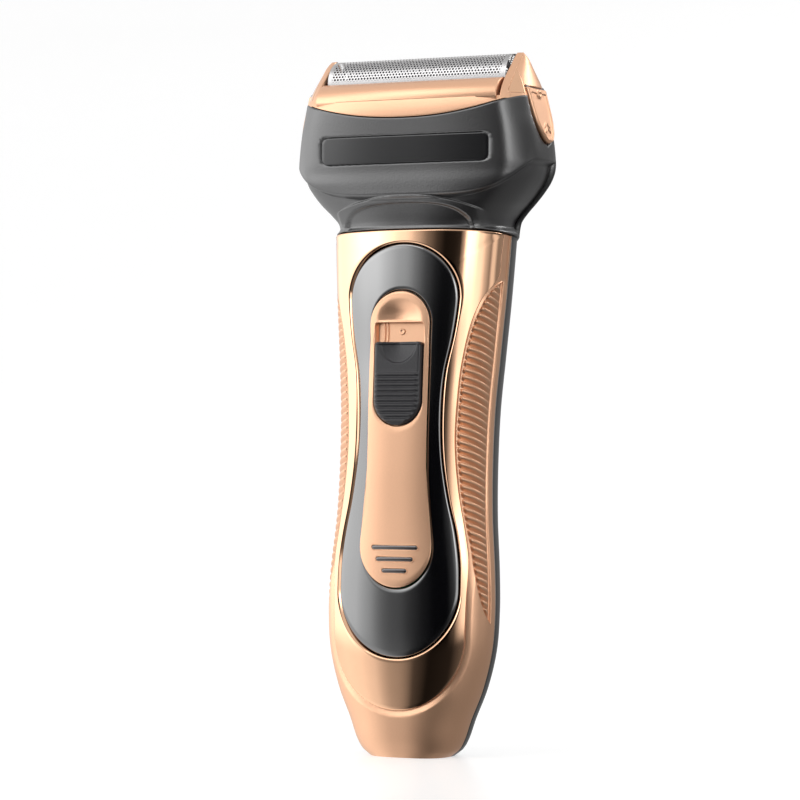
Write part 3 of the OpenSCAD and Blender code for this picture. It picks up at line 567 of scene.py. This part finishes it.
def switch_plate():
    """Satin plate with its thumb dish, the switch window and the floor under the knob."""
    n = 90

    def dish(z, t):
        x = handle_point(z, t)[0]
        r = math.hypot(x / 5.6, (z - 98.6) / 4.6)
        return 1.1 * (1 - step(0.25, 1.0, r)) if z > 97 else 0.0

    rows = band(window_loop(n), loop(plate_hw, PLATE_Z0, PLATE_Z1, n), mid=26,
                r0=0.25, r1=0.5, lift=-0.5, crown=dish)
    obj = weld(grid("switch_plate_fine", rows, wrap=True))
    place(obj, "switch_plate")
    cols = []
    for z in even(-12, 11.9, 30):
        cols.append([at_switch(x, 0.9, z) for x in even(-6.3, 6.3, 12)])
    place(weld(grid("switch_plate_floor", cols)), "switch_plate")
    for k, (x, z, w, h) in enumerate(PLATE_MARKS):
        ring = []
        for j in range(24):
            a = 2 * math.pi * j / 24
            ring.append((x + w * math.cos(a), z + h * math.sin(a)))
        rows = [[at_switch(x + (px - x) * f, y, z + (pz - z) * f) for px, pz in ring]
                for f, y in ((1, 0.95), (1, 0.7), (0.88, 0.62), (0.6, 0.62), (0.5, 0.75))]
        place(weld(grid(f"plate_mark_{k}", rows, wrap=True, caps=True)), "switch_plate")
    return obj


def power_switch():
    """Knob with a thumb dip at its straight top and cross ribs to its round bottom."""
    lo, hi, hw = -11.5, 7.2, KNOB_HW

    def half(z):
        r = 0.6
        return min(hw * round_end((z - lo) / hw), hw - r + r * round_end((hi - z) / r))

    def out(x, z):
        """Height of the knob's top: ribs below, the thumb dip above and a rounded lip."""
        base, pitch, rib = 1.15, 1.15, 0.42
        ribs = 0.0
        if z < 0.9:
            phase = (z + 10.4) / pitch
            ribs = rib * (0.5 + 0.5 * math.cos(2 * math.pi * phase)) * step(0.9, 0.3, z)
            ribs *= step(-11.2, -10.4, z)
        edge = half(z) - abs(x)
        ribs *= step(0.25, 1.0, edge)
        d = math.hypot(x / 4.75, (z - 7.2) / 5.0)
        dip = (0.55 + 0.5 * max(0, 1 - d)) * (1 - step(0.9, 1.0, d))
        lip = 0.35 * step(0, 1, 1 - min(1, edge / 0.5)) ** 2
        return base + ribs - dip - lip

    rows = []
    for z in rise(lo, hi, 24)[:5] + even(-10.9, 6.6, 190) + rise(lo, hi, 24)[-4:]:
        h = max(half(z), 0.02)
        row = [(-h, z, -0.6)]
        row += [(x, z, out(x, z)) for x in even(-h, h, 46)]
        row += [(h, z, -0.6)]
        rows.append([at_switch(x, -y, zz) for x, zz, y in row])
    n = len(rows[0]) - 1
    first = [at_switch(x, 0.6, lo) for x in even(-0.02, 0.02, n)]
    last = [at_switch(x, 0.6, hi) for x in even(-hw + 0.6, hw - 0.6, n)]
    obj = weld(grid("power_switch_fine", [first] + rows + [last]))
    return place(obj, "power_switch")


def capsule(z0, hl, stops):
    """A long rounded bar across the plate: stops of (radius, lift out of the handle)."""
    rows = []
    for r, lift in stops:
        ring = []
        for j in range(64):
            a = 2 * math.pi * j / 64
            x = math.copysign(hl - 0.5, math.cos(a)) + r * math.cos(a)
            z = z0 + r * math.sin(a)
            t = handle_theta(z, abs(x))
            ring.append(handle_point(z, t if x >= 0 else math.pi - t, -lift))
        rows.append(ring)
    return grid("capsule", rows, wrap=True, caps=True)


# Sections of the slots' lenses and rims, as (radius, lift out of the handle)
LENS = [(0.5, -0.9), (0.5, 0.5), (0.44, 0.62), (0.3, 0.7), (0.1, 0.72)]
LENS_RIM = [(0.62, 0.2), (0.76, 0.45), (0.72, 0.62), (0.62, 0.66), (0.54, 0.55), (0.5, 0.3)]


def indicator_lenses():
    """Three long lenses, and the raised rims round them on the plate."""
    bars = [capsule(z, hl, LENS) for z, hl in INDICATORS]
    place(weld(join("indicator_lenses_fine", bars), 0.001), "indicator_lenses")
    rims = [capsule(z, hl, LENS_RIM) for z, hl in INDICATORS]
    place(weld(join("indicator_rims", rims), 0.001), "switch_plate")


def grips(side):
    """Ribbed side grip: slanting ribs with rounded ends on a slightly sunk ground."""
    ground, rib_height, turn_in = 0.6, 0.62, 1.0

    def wide(z):
        back, front = grip_angles(z)
        return front - back > 0.004

    lo = next(z for z in even(GRIP_Z0, 60, 300) if wide(z))
    hi = next(z for z in even(GRIP_Z1, 80, 300) if wide(z))
    rows = []
    for z in even(lo, hi, 700):
        t1, t0 = grip_angles(z)
        w = math.dist(handle_point(z, t0), handle_point(z, t1))
        row = [handle_point(z, t0, turn_in)]
        for s in even(0, 1, 64):
            t = t0 + (t1 - t0) * s
            y = handle_point(z, t)[1]
            e = min(s, 1 - s) * w
            # The ribs bend down at their rear ends, and rise slowly and fall fast along the grip
            droop = 0.3 * (1 - step(0.1, 1.5, (1 - s) * w))
            phase = (z + (y - handle_cy(z)) * math.tan(RIB_TILT)) / RIB_PITCH + droop
            saw = phase - math.floor(phase)
            wave = step(0, 0.62, saw) * (1 - step(0.8, 1.0, saw))
            end = step(0.15, 0.75, e - 0.35 * (1 - wave)) if s < 0.5 else step(0.35, 1.3, e)
            rib = rib_height * wave * end
            row.append(handle_point(z, t, ground * step(0.0, 0.3, e) - rib + 0.02))
        row.append(handle_point(z, t1, turn_in))
        rows.append([(side * x, y, zz) for x, y, zz in row])
    name = "grip_right" if side > 0 else "grip_left"
    return place(weld(grid(name + "_fine", rows), 0.002), name)


# ---- Head ----
# Height below the hinge and half width of the release tongue
TAB_W = [(-12.5, 0.0), (-12.3, 0.9), (-12, 1.6), (-11, 2.6), (-9.9, 3.4), (-8.2, 4.1),
         (-6.4, 4.5), (-3, 4.8), (0.3, 5.0)]


def seam_angles(split):
    """Angle at the right side where the head crosses the plane y = split, as a function of z."""
    table = []
    for k in range(38):
        z = 114 + k
        lo, hi = -1.2, 1.2
        for _ in range(18):
            mid = (lo + hi) / 2
            lo, hi = (mid, hi) if head_point(z, mid)[1] > split else (lo, mid)
        table.append(lo)

    def at(z):
        u = min(max(z - 114, 0), 36.999)
        return table[int(u)] + (table[int(u) + 1] - table[int(u)]) * (u - int(u))

    return at


def undercut(x, z):
    """Depth of the front's step in below the face's lower edge, less the raised lip on it."""
    edge = 126.7 + 7.3 * min(1.0, abs(x) / 29.5) ** 5
    cut = 1.3 * step(0, 1.5, edge - z)
    lip_top = 126.9 - 4.2 * abs(x / 21) ** 2.3
    inner = 118 + 6.5 * max(0.0, 1 - abs(x / 16.5) ** 2.8) ** (1 / 2.8)
    lip = 0.75 * step(-0.1, 0.3, lip_top - 0.6 - z) * step(-0.1, 0.2, z - inner)
    fade = 1 - step(17.5, 20.5, abs(x))
    return (cut - lip * fade) * step(117.5, 119.5, z)


def shell_rows(seam, turn, cols, steps, detail):
    """Columns round the head from seam to seam, each running from the neck to the frame."""
    stops = ([(0, 1.7), (0, 0.2), (0.002, 0.1), (0.005, 0.04)] + [(u, 0) for u in even(0.01, 0.99, steps)]
             + [(0.995, 0.04), (0.998, 0.1), (1, 0.2), (1, 1.7)])
    out = []
    for k in range(cols + 1):
        column = []
        for u, inset in stops:
            z = 117.4 + u * 27  # a first guess, made exact as the ends depend on x and y
            for _ in range(2):
                a = seam(z)
                t = a + (turn * math.pi - 2 * a) * k / cols
                x, y, _z = head_point(z, t)
                low, high = seam_height(y) + SEAM_GAP, frame_edge(x) - 0.02
                z = low + (high - low) * u
            x, y, _z = head_point(z, t)
            if detail and inset < 1:
                inset += detail(x, y, z)
            column.append(head_point(z, t, inset))
        out.append(column)
    turned = [[(x * 0.94, y, z) for x, y, z in out[k]] for k in (0, -1)]
    return [turned[0]] + out + [turned[1]]


# Label: half width, lower edge, upper edge and corner radius
LABEL = (21.0, 133.5, 139.8, 1.6)


def front_detail(x, y, z):
    """Step under the face and the pocket the label sits in."""
    hx, z0, z1, r = LABEL
    qx = abs(x) - (hx - r)
    qz = abs(z - (z0 + z1) / 2) - ((z1 - z0) / 2 - r)
    d = math.hypot(max(qx, 0), max(qz, 0)) + min(max(qx, qz), 0) - r
    seat = 0.0
    if abs(x) > 26 and z > 136.8:
        w = smooth(TAB_W, min(0, (z - 149.4) / math.cos(TAB_LEAN)))
        seat = 1.5 * (1 - step(w + 0.05, w + 0.35, abs(y - HEAD_Y))) * step(136.9, 137.3, z)
    return undercut(x, z) + 0.5 * (1 - step(0.02, 0.22, d)) + seat


def head_front_shell():
    """Dark front shell, with the neck, the lip and the label's pocket."""
    rows = shell_rows(seam_angles(HEAD_Y + 4.88), 1, 260, 150, front_detail)
    return place(weld(grid("head_front_shell_fine", rows)), "head_front_shell")


def head_rear_shell():
    """Plain dark shell behind."""
    rows = shell_rows(seam_angles(HEAD_Y + 5.02), -1, 130, 60, None)
    return place(weld(grid("head_rear_shell_fine", rows)), "head_rear_shell")


def label_panel():
    """Blank glossy label, flush in its pocket."""
    hx, z0, z1, r = LABEL
    rows = []
    for z in ([z0, z0 + 0.02, z0 + 0.1] + even(z0 + 0.2, z1 - 0.2, 30)
              + [z1 - 0.1, z1 - 0.02, z1]):
        e = min(z - z0, z1 - z)
        half = hx if e >= r else hx - r + math.sqrt(max(0.0, r * r - (r - e) ** 2))
        row = []
        for x, down in ([(-half, 0.9), (-half, 0.42), (-half + 0.06, 0.29)]
                        + [(x, 0.22) for x in even(-half + 0.2, half - 0.2, 60)]
                        + [(half - 0.06, 0.29), (half, 0.42), (half, 0.9)]):
            inset = max(down, 0.22 + 0.2 * (1 - step(0, 0.2, e)))
            t = math.atan2(smooth(HEAD, z, 2) - inset, x)
            row.append((x, head_point(z, t, inset)[1], z))
        rows.append(row)
    for edge, z in ((0, z0), (-1, z1)):
        extra = [(x, y + 0.5, z) for x, y, _z in rows[edge]]
        rows = [extra] + rows if edge == 0 else rows + [extra]
    return place(weld(grid("label_panel_fine", rows)), "label_panel")


def cap_point(z, theta, inset=0.0):
    """Frame and end caps: the head's facets, running up to a round crest."""
    a, d, n = (smooth(CAP, z, c) for c in (1, 2, 3))
    a, d = max(a - inset, 0.1), max(d - inset, 0.1)
    w = step(149, 157, z)
    r = corner_radius(a, d, n, theta) * (1 - w) + polar(a, d, n, theta) * w
    cy = HEAD_Y + smooth(CAP, z, 4)
    return (r * math.cos(theta), cy - r * math.sin(theta), z)


def cap_angle(z, axis, value):
    """Angle at which the cap's outline is value from the middle along x (0) or y (1)."""
    lo, hi = 0.0, math.pi / 2
    cy = HEAD_Y + smooth(CAP, z, 4)
    for _ in range(22):
        mid = (lo + hi) / 2
        p = cap_point(z, mid)
        inside = p[0] > value if axis == 0 else cy - p[1] < value
        lo, hi = (mid, hi) if inside else (lo, mid)
    return lo


# Height and half width of the satin band that runs over each end cap
BAND_W = [(144, 5.1), (148, 5.1), (152, 4.7), (155, 4.0), (157, 2.5), (158, 0.6), (159, 0.1)]
PATCH_X, TAB_TOP = 24.3, 150.35


def tab_seat(y, z):
    """Recess in the frame's side that the release tongue fills."""
    return 1.9 * (1 - step(5.05, 5.15, abs(y - HEAD_Y))) * (z < TAB_TOP)


def foil_frame():
    """Rose gold ring on the head, with an arched cap at each end of the foil."""
    parts = []
    out = []
    count = 420
    for u, inset in ((0, 1.9), (0, 0.15), (0.012, 0.04), (0.05, 0)) + tuple(
            (u, 0) for u in even(0.1, 1, 14)):
        ring = []
        for k in range(count):
            t = 2 * math.pi * k / count
            x, y, _z = cap_point(147, t)
            low = frame_edge(x) + 0.2
            z = low + (147.9 - low) * u
            ring.append(cap_point(z, t, max(inset, tab_seat(y, z) if abs(x) > 20 else 0)))
        out.append(ring)
    inner = [cap_point(147.9, 2 * math.pi * k / count, 0.25) for k in range(count)]
    for f in (0.0, 0.35, 0.7, 1.0):
        ring = []
        for x, y, _z in inner:
            scale = max(abs(x) / 22.8, abs(y - HEAD_Y) / 6.1)
            bx, by = x / scale, HEAD_Y + (y - HEAD_Y) / scale
            ring.append((x + (bx - x) * f, y + (by - y) * f, 147.0))
        out.append(ring)
    out.append([(x, y, 146.4) for x, y, z in out[-1]])
    parts.append(grid("ring", out, wrap=True))
    for side in (1, -1):
        rows = []
        for z in (even(147.3, TAB_TOP - 0.02, 16) + even(TAB_TOP + 0.02, 156, 40)
                  + even(156.1, 158.28, 16)):
            te = cap_angle(z, 0, 23.1)
            patch, band_t = cap_angle(z, 0, PATCH_X), cap_angle(z, 1, smooth(BAND_W, z))
            fore, aft = cap_point(z, te), cap_point(z, -te)
            wall = min(1.4, 0.3 * (aft[1] - fore[1]))
            row = [(22.9, fore[1] + wall, z), (22.9, fore[1] + wall / 7, z),
                   (22.98, fore[1] + wall / 28, z)]
            for s in even(0, 1, 220):
                t = te * (1 - 2 * s)
                sunk = 0.7 if 148.9 < z and band_t + 0.012 < abs(t) < patch - 0.008 else 0.0
                row.append(cap_point(z, t, max(sunk, tab_seat(cap_point(z, t)[1], z))))
            row += [(22.98, aft[1] - wall / 28, z), (22.9, aft[1] - wall / 7, z),
                    (22.9, aft[1] - wall, z)]
            rows.append([(side * x, y, zz) for x, y, zz in row])
        ym = sum(p[1] for p in rows[-1]) / len(rows[-1])
        rows.append([(x, ym + (y - ym) * 0.5, 158.33) for x, y, z in rows[-1]])
        rows.append([(x, ym, 158.35) for x, y, z in rows[-1]])
        parts.append(grid("cap", rows))
    return place(weld(join("foil_frame_fine", parts), 0.002), "foil_frame")


def corner_inserts():
    """Four glossy patches set into the caps, beside their bands."""
    stops = ((0, 0.8), (0, 0.12), (0.02, 0), (0.06, -0.05)) + tuple(
        (s, -0.05) for s in even(0.1, 0.9, 16)) + ((0.94, -0.05), (0.98, 0), (1, 0.12), (1, 0.8))
    parts = []
    for side in (1, -1):
        for fore in (1, -1):
            cols = []
            for s, inset in stops:
                row = []
                for z in [148.62, 148.62] + rise(148.65, 157.75, 44):
                    deep = 0.6 if z < 148.63 and not row else inset
                    b = cap_angle(z, 0, PATCH_X)
                    a = min(cap_angle(z, 1, smooth(BAND_W, z) + 0.08), b - 0.004)
                    gap = min(0.008, (b - a) / 8)
                    a, b = a + gap, b - gap
                    x, y, _ = cap_point(z, a + (b - a) * s, deep)
                    cy = HEAD_Y + smooth(CAP, z, 4)
                    row.append((side * x, cy + fore * (y - cy), z))
                cols.append(row)
            parts.append(grid("insert", cols))
    return place(weld(join("corner_inserts_fine", parts), 0.0005), "corner_inserts")


def on_foil(x, v, inset=0.0):
    """A point of the foil: x along it, v the arc length from its crest."""
    a = v / FOIL_R
    r = FOIL_R - inset
    return (x, HEAD_Y - r * math.sin(a), FOIL_Z + r * math.cos(a))


def foil():
    """Perforated foil: round holes in a honeycomb pattern, with plain ends and legs."""
    pitch, hole = 0.76, 0.26
    verts, faces, index = [], [], {}
    x_end, v_end = 21.8, FOIL_R * math.radians(90)

    def vert(x, v):
        key = (round(x, 3), round(v, 3))
        if key not in index:
            index[key] = len(verts)
            verts.append(on_foil(x, v))
        return index[key]

    dv = pitch * math.sqrt(3) / 2
    rows_n = int(v_end / dv)
    cols_n = int(x_end / pitch)
    corner = pitch / math.sqrt(3)
    for j in range(-rows_n, rows_n + 1):
        for i in range(-cols_n, cols_n + 1):
            cx, cv = (i + 0.5 * (j % 2)) * pitch, j * dv
            ring = []
            for k in range(12):
                a = math.radians(30 * k + 90)
                r = corner if k % 2 == 0 else pitch / 2
                ring.append((vert(cx + r * math.cos(a), cv + r * math.sin(a)),
                             vert(cx + hole * math.cos(a), cv + hole * math.sin(a))))
            for k in range(12):
                a, b = ring[k], ring[(k + 1) % 12]
                faces.append((a[0], b[0], b[1], a[1]))
    parts = [make_mesh("holes", verts, faces)]
    edge_x, edge_v = cols_n * pitch - 0.1, rows_n * dv - 0.15
    for sx in (1, -1):
        rows = [[on_foil(sx * x, v, 0.03) for v in even(-FOIL_R * math.pi / 2, FOIL_R * math.pi / 2, 48)]
                for x in (edge_x, (edge_x + FOIL_HL) / 2, FOIL_HL)]
        parts.append(grid("strip", rows))
    for sv in (1, -1):
        rows = [[on_foil(x, sv * v, 0.03) for x in even(-FOIL_HL, FOIL_HL, 4)]
                for v in even(edge_v, FOIL_R * math.pi / 2, 6)]
        rows.append([(x, HEAD_Y - sv * (FOIL_R - 0.03), 147.5) for x in even(-FOIL_HL, FOIL_HL, 4)])
        parts.append(grid("leg", rows))
    return place(join("foil_fine", parts), "foil")


def foil_bars():
    """Convex satin bars in front of and behind the foil, running down into the frame."""
    parts = []
    for fore in (1, -1):
        profile = [(-6.02, 147.2), (-11.2, 147.2), (-11.5, 147.6)]
        profile += [(-6.05 - 5.4 * math.cos(math.radians(a)), 147.9 + 4.45 * math.sin(math.radians(a)))
                    for a in even(0, 86, 26)]
        profile += [(-6.12, 152.34), (-6.02, 152.2), (-6.02, 150)]
        rows = []
        for x, shrink in ((-22.45, 0.5), (-22.45, 0.12), (-22.4, 0.03), (-22.3, 0), (0, 0),
                          (22.3, 0), (22.4, 0.03), (22.45, 0.12), (22.45, 0.5)):
            rows.append([(x, HEAD_Y + fore * (y + (shrink if y < -7 else 0)),
                          z - (shrink if z > 149 else 0)) for y, z in profile])
        parts.append(grid("bar", rows, wrap=True, caps=True))
    return place(weld(join("foil_bars_fine", parts), 0.002), "foil_bars")


def tab(side):
    """Release tongue with its hinge, boss and finger marks; side is 1 at the right."""
    tongue = Matrix.Translation((27.0, HEAD_Y, 149.7)) @ Matrix.Rotation(-TAB_LEAN, 4, "Y")
    rows = []
    for z in [-12.5, -12.46, -12.38] + even(-12.3, 0.1, 96) + [0.2, 0.3]:
        w = max(smooth(TAB_W, z), 0.03)
        near = z + 12.5
        row = []
        for s in even(-1, 1, 60):
            y = w * s
            edge = min(w - abs(y), near * 0.8, (0.3 - z) + 0.001)
            out = 0.7 - 0.30 * (1 - step(0, 0.35, edge)) - 0.22 * step(0.75, 1.0, edge) * (z < -1)
            boss = 0.5 * (1 - step(0.75, 0.98, math.hypot(y, z + 1.3)))
            dent = 0.18 * (1 - step(0.2, 0.5, math.hypot(y, z + 1.3)))
            mark = 0.0
            for z0 in (-9.0, -10.2):
                mark = max(mark, 0.25 * (1 - step(0.12, 0.32, abs(z - z0 - 0.75 * (1.4 - abs(y)))))
                           * (1 - step(1.2, 1.5, abs(y))) * step(0.9, 1.1, edge))
            row.append(tuple(tongue @ Vector((out + boss - dent + mark, y, z))))
        row += [tuple(tongue @ Vector((-0.7, w * s, z))) for s in (1, 0.5, 0, -0.5, -1)]
        rows.append([(side * x, y, zz) for x, y, zz in row])
    parts = [grid("plate", rows, wrap=True, caps=True)]
    hinge = []
    for y in (-4.4, -4.3, 4.3, 4.4):
        r = 1.35 if abs(y) < 4.35 else 1.2
        hinge.append([(side * (25.5 + r * math.cos(a)), HEAD_Y + y, 149.6 + r * math.sin(a))
                      for a in even(0, 2 * math.pi, 40)[:-1]])
    parts.append(grid("hinge", hinge, wrap=True, caps=True))
    arm = []
    for x in (26.5, 28.5):
        arm.append([(side * (x - 1.2), HEAD_Y + y, z - 0.9) for y, z in
                    ((-4.3, 148.95), (4.3, 148.95), (4.3, 149.85), (-4.3, 149.85))])
    parts.append(grid("arm", arm, wrap=True, caps=True))
    name = "tab_right" if side > 0 else "tab_left"
    return place(weld(join(name + "_fine", parts), 0.002), name)


# ---- Springs between moving bodies ----
def cutter_spring():
    """Coil spring with closed ends, between the drive bridge and the blade block."""
    turns, coil_r, wire_r, low, high = 5, 4.1, 0.28, 141.9, 145.1
    rows = []
    for k in range(turns * 40 + 1):
        u = k / (turns * 40)
        t = 2 * math.pi * turns * u
        z = low + (high - low) * step(0, 1, u) * 0.4 + (high - low) * u * 0.6
        ring = []
        for j in range(12):
            a = 2 * math.pi * j / 12
            r = coil_r + wire_r * math.cos(a)
            ring.append((r * math.cos(t), HEAD_Y + r * math.sin(t), z + wire_r * math.sin(a)))
        rows.append(ring)
    obj = weld(grid("cutter_spring_fine", rows, wrap=True, caps=True))
    return bend(obj, "cutter_spring")


def bridge_legs():
    """Two leaf springs that hang the drive bridge from the deck."""
    low, high, leaf_x, half_t, half_w = 127.4, 137.95, 11.3, 0.25, 4
    legs = []
    for side in (1, -1):
        rows = [[(side * leaf_x + x, HEAD_Y + y, z) for x, y in
                 ((-half_t, -half_w), (half_t, -half_w), (half_t, half_w), (-half_t, half_w))]
                for z in even(low, high, 24)]
        legs.append(grid("leg", rows, wrap=True, caps=True))
    obj = weld(join("bridge_legs_fine", legs))
    obj.data.shade_flat()
    return bend(obj, "bridge_legs")


def bend(obj, node):
    """Finish for a springy piece that joins two bodies: bakes its place into its mesh and hides its CAD
    node; the mesh itself stays put.
    """
    obj.data.materials.append(FINISHES[SLOTS[node]])
    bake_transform(obj)
    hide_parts(node)
    return obj


# ---- Stage ----
def floor_finish():
    """Pale floor that also glows a little, for the eye only."""
    m = FINISHES["floor"]
    nt = m.node_tree
    bsdf = nt.nodes["Principled BSDF"]
    path = nt.nodes.new("ShaderNodeLightPath")
    scale = nt.nodes.new("ShaderNodeMath")
    scale.operation = "MULTIPLY"
    scale.inputs[1].default_value = 0.58
    nt.links.new(path.outputs["Is Camera Ray"], scale.inputs[0])
    bsdf.inputs["Emission Color"].default_value = (1, 1, 1, 1)
    nt.links.new(scale.outputs[0], bsdf.inputs["Emission Strength"])
    return m


# Light round the object: degrees from the front towards the right, and brightness.
LOW_LIGHT = [(-180, 0.4), (-110, 1.1), (-60, 1.3), (-42, 1.2), (-32, 0.95), (-26.5, 0.42), (-21, 0.07),
             (-12, 0.01), (12, 0.02), (30, 0.12), (60, 0.22), (180, 0.3)]
LEVEL_LIGHT = [(-180, 0.4), (-130, 1.0), (-105, 2.0), (-70, 2.2), (-45, 2.0), (-34, 1.2), (-29, 0.5),
               (-24, 0.12), (-18, 0.03), (-10, 0.0), (5, 0.0), (14, 0.14), (25, 1.2), (40, 2.0),
               (60, 1.6), (72, 0.8), (88, 0.3), (96, 1.0), (104, 1.0), (114, 0.3), (180, 0.4)]
HIGH_LIGHT = [(-180, 0.3), (-120, 1.2), (-80, 2.2), (-50, 3.2), (-35, 3.2), (-28, 2.1), (-24, 0.8),
              (-19, 0.25), (-12, 0.06), (-5, 0.01), (14, 0.02), (20, 0.6), (26, 4.0), (40, 3.4),
              (52, 1.0), (66, 0.2), (100, 0.06), (180, 0.3)]


PEAK = 4.0  # brightness of a full ramp colour


def world_light():
    """A soft studio all round: boxes left and right, dark in front and at the far right."""
    world = bpy.data.worlds.new("studio")
    bpy.context.scene.world = world
    world.use_nodes = True
    nt = world.node_tree
    coords = nt.nodes.new("ShaderNodeTexCoord")
    split = nt.nodes.new("ShaderNodeSeparateXYZ")
    nt.links.new(coords.outputs["Generated"], split.inputs["Vector"])

    def math_node(op, a, b):
        n = nt.nodes.new("ShaderNodeMath")
        n.operation = op
        for k, v in enumerate((a, b)):
            if isinstance(v, (int, float)):
                n.inputs[k].default_value = v
            else:
                nt.links.new(v, n.inputs[k])
        return n.outputs[0]

    turn = math_node("ARCTAN2", split.outputs["X"], math_node("MULTIPLY", split.outputs["Y"], -1))
    turn = math_node("ADD", math_node("DIVIDE", turn, 2 * math.pi), 0.5)

    def ramp_of(table):
        ramp = nt.nodes.new("ShaderNodeValToRGB")
        nt.links.new(turn, ramp.inputs["Fac"])
        els = ramp.color_ramp.elements
        els.remove(els[1])
        els[0].position = 0
        els[0].color = (table[0][1] / PEAK,) * 3 + (1,)
        for deg, v in table[1:]:
            els.new((deg + 180) / 360).color = (v / PEAK,) * 3 + (1,)
        return ramp.outputs["Color"]

    def blend(a, b, lo, hi):
        t = nt.nodes.new("ShaderNodeMapRange")
        t.interpolation_type = "SMOOTHSTEP"
        t.inputs["From Min"].default_value, t.inputs["From Max"].default_value = lo, hi
        nt.links.new(split.outputs["Z"], t.inputs["Value"])
        mix = nt.nodes.new("ShaderNodeMix")
        mix.data_type = "RGBA"
        nt.links.new(t.outputs["Result"], mix.inputs[0])
        nt.links.new(a, mix.inputs[6])
        if isinstance(b, tuple):
            mix.inputs[7].default_value = b
        else:
            nt.links.new(b, mix.inputs[7])
        return mix.outputs[2]

    lower = blend(ramp_of(LOW_LIGHT), ramp_of(LEVEL_LIGHT), -0.13, -0.02)
    sides = blend(lower, ramp_of(HIGH_LIGHT), 0.06, 0.18)
    nt.links.new(blend(sides, (0.20, 0.20, 0.20, 1), 0.24, 0.56),
                 nt.nodes["Background"].inputs["Color"])
    nt.nodes["Background"].inputs["Strength"].default_value = PEAK


def studio():
    """Pale floor that curves up behind, and the light round it."""
    half_w, front, back, bend_y, bend_size, wall = 1500, -1500, 900, 450, 700, 1500
    rows = []
    for y in even(front, back, 60):
        z = 0.0 if y < bend_y else (y - bend_y) ** 2 / bend_size
        rows.append([(x, y, z) for x in even(-half_w, half_w, 8)])
    rows.append([(x, y, z + wall) for x, y, z in rows[-1]])
    floor = grid("studio_floor", rows)
    floor.data.materials.append(floor_finish())
    floor.visible_glossy = False
    world_light()
    bpy.context.scene.view_settings.view_transform = "Standard"


def lamp(name, loc, target, size, power):
    """A soft rectangular lamp, turned towards its target."""
    data = bpy.data.lights.new(name, "AREA")
    data.shape = "RECTANGLE"
    data.size, data.size_y = size
    data.energy = power
    obj = bpy.data.objects.new(name, data)
    bpy.context.scene.collection.objects.link(obj)
    obj.location = loc
    obj.rotation_mode = "QUATERNION"
    obj.rotation_quaternion = (Vector(target) - Vector(loc)).to_track_quat("-Z", "Y")


def camera():
    """Level view from the front, a little from the right."""
    az = math.radians(26)
    distance, height, aside = 0.76, 0.0757, 0.00604
    right = Vector((math.cos(az), math.sin(az), 0))
    target = Vector((0, HEAD_Y * MM, height)) - right * aside
    data = bpy.data.cameras.new("camera")
    data.lens, data.sensor_width = 150, 36
    data.shift_y = 0.025
    data.clip_start = 0.01
    cam = bpy.data.objects.new("camera", data)
    bpy.context.scene.collection.objects.link(cam)
    cam.location = target + distance * Vector((math.sin(az), -math.cos(az), 0))
    cam.rotation_euler = (math.pi / 2, 0, az)
    bpy.context.scene.camera = cam


# Finishes for the CAD pieces too, as those inside have no fine mesh
for node, obj in frame["nodes"].items():
    obj.data.materials.clear()
    obj.data.materials.append(FINISHES[SLOTS[node]])

front_housing()
rear_housing()
front_bezel()
front_panel()
switch_plate()
power_switch()
indicator_lenses()
grips(1)
grips(-1)
head_front_shell()
head_rear_shell()
label_panel()
foil_frame()
corner_inserts()
foil()
foil_bars()
tab(1)
tab(-1)
cutter_spring()
bridge_legs()
studio()
camera()
middle = (0, 0, 0.08)
lamp("key", (-0.45, -0.70, 0.90), middle, (0.6, 0.6), 2)
lamp("rim", (0.5, 0.6, 0.6), middle, (0.4, 0.4), 2)
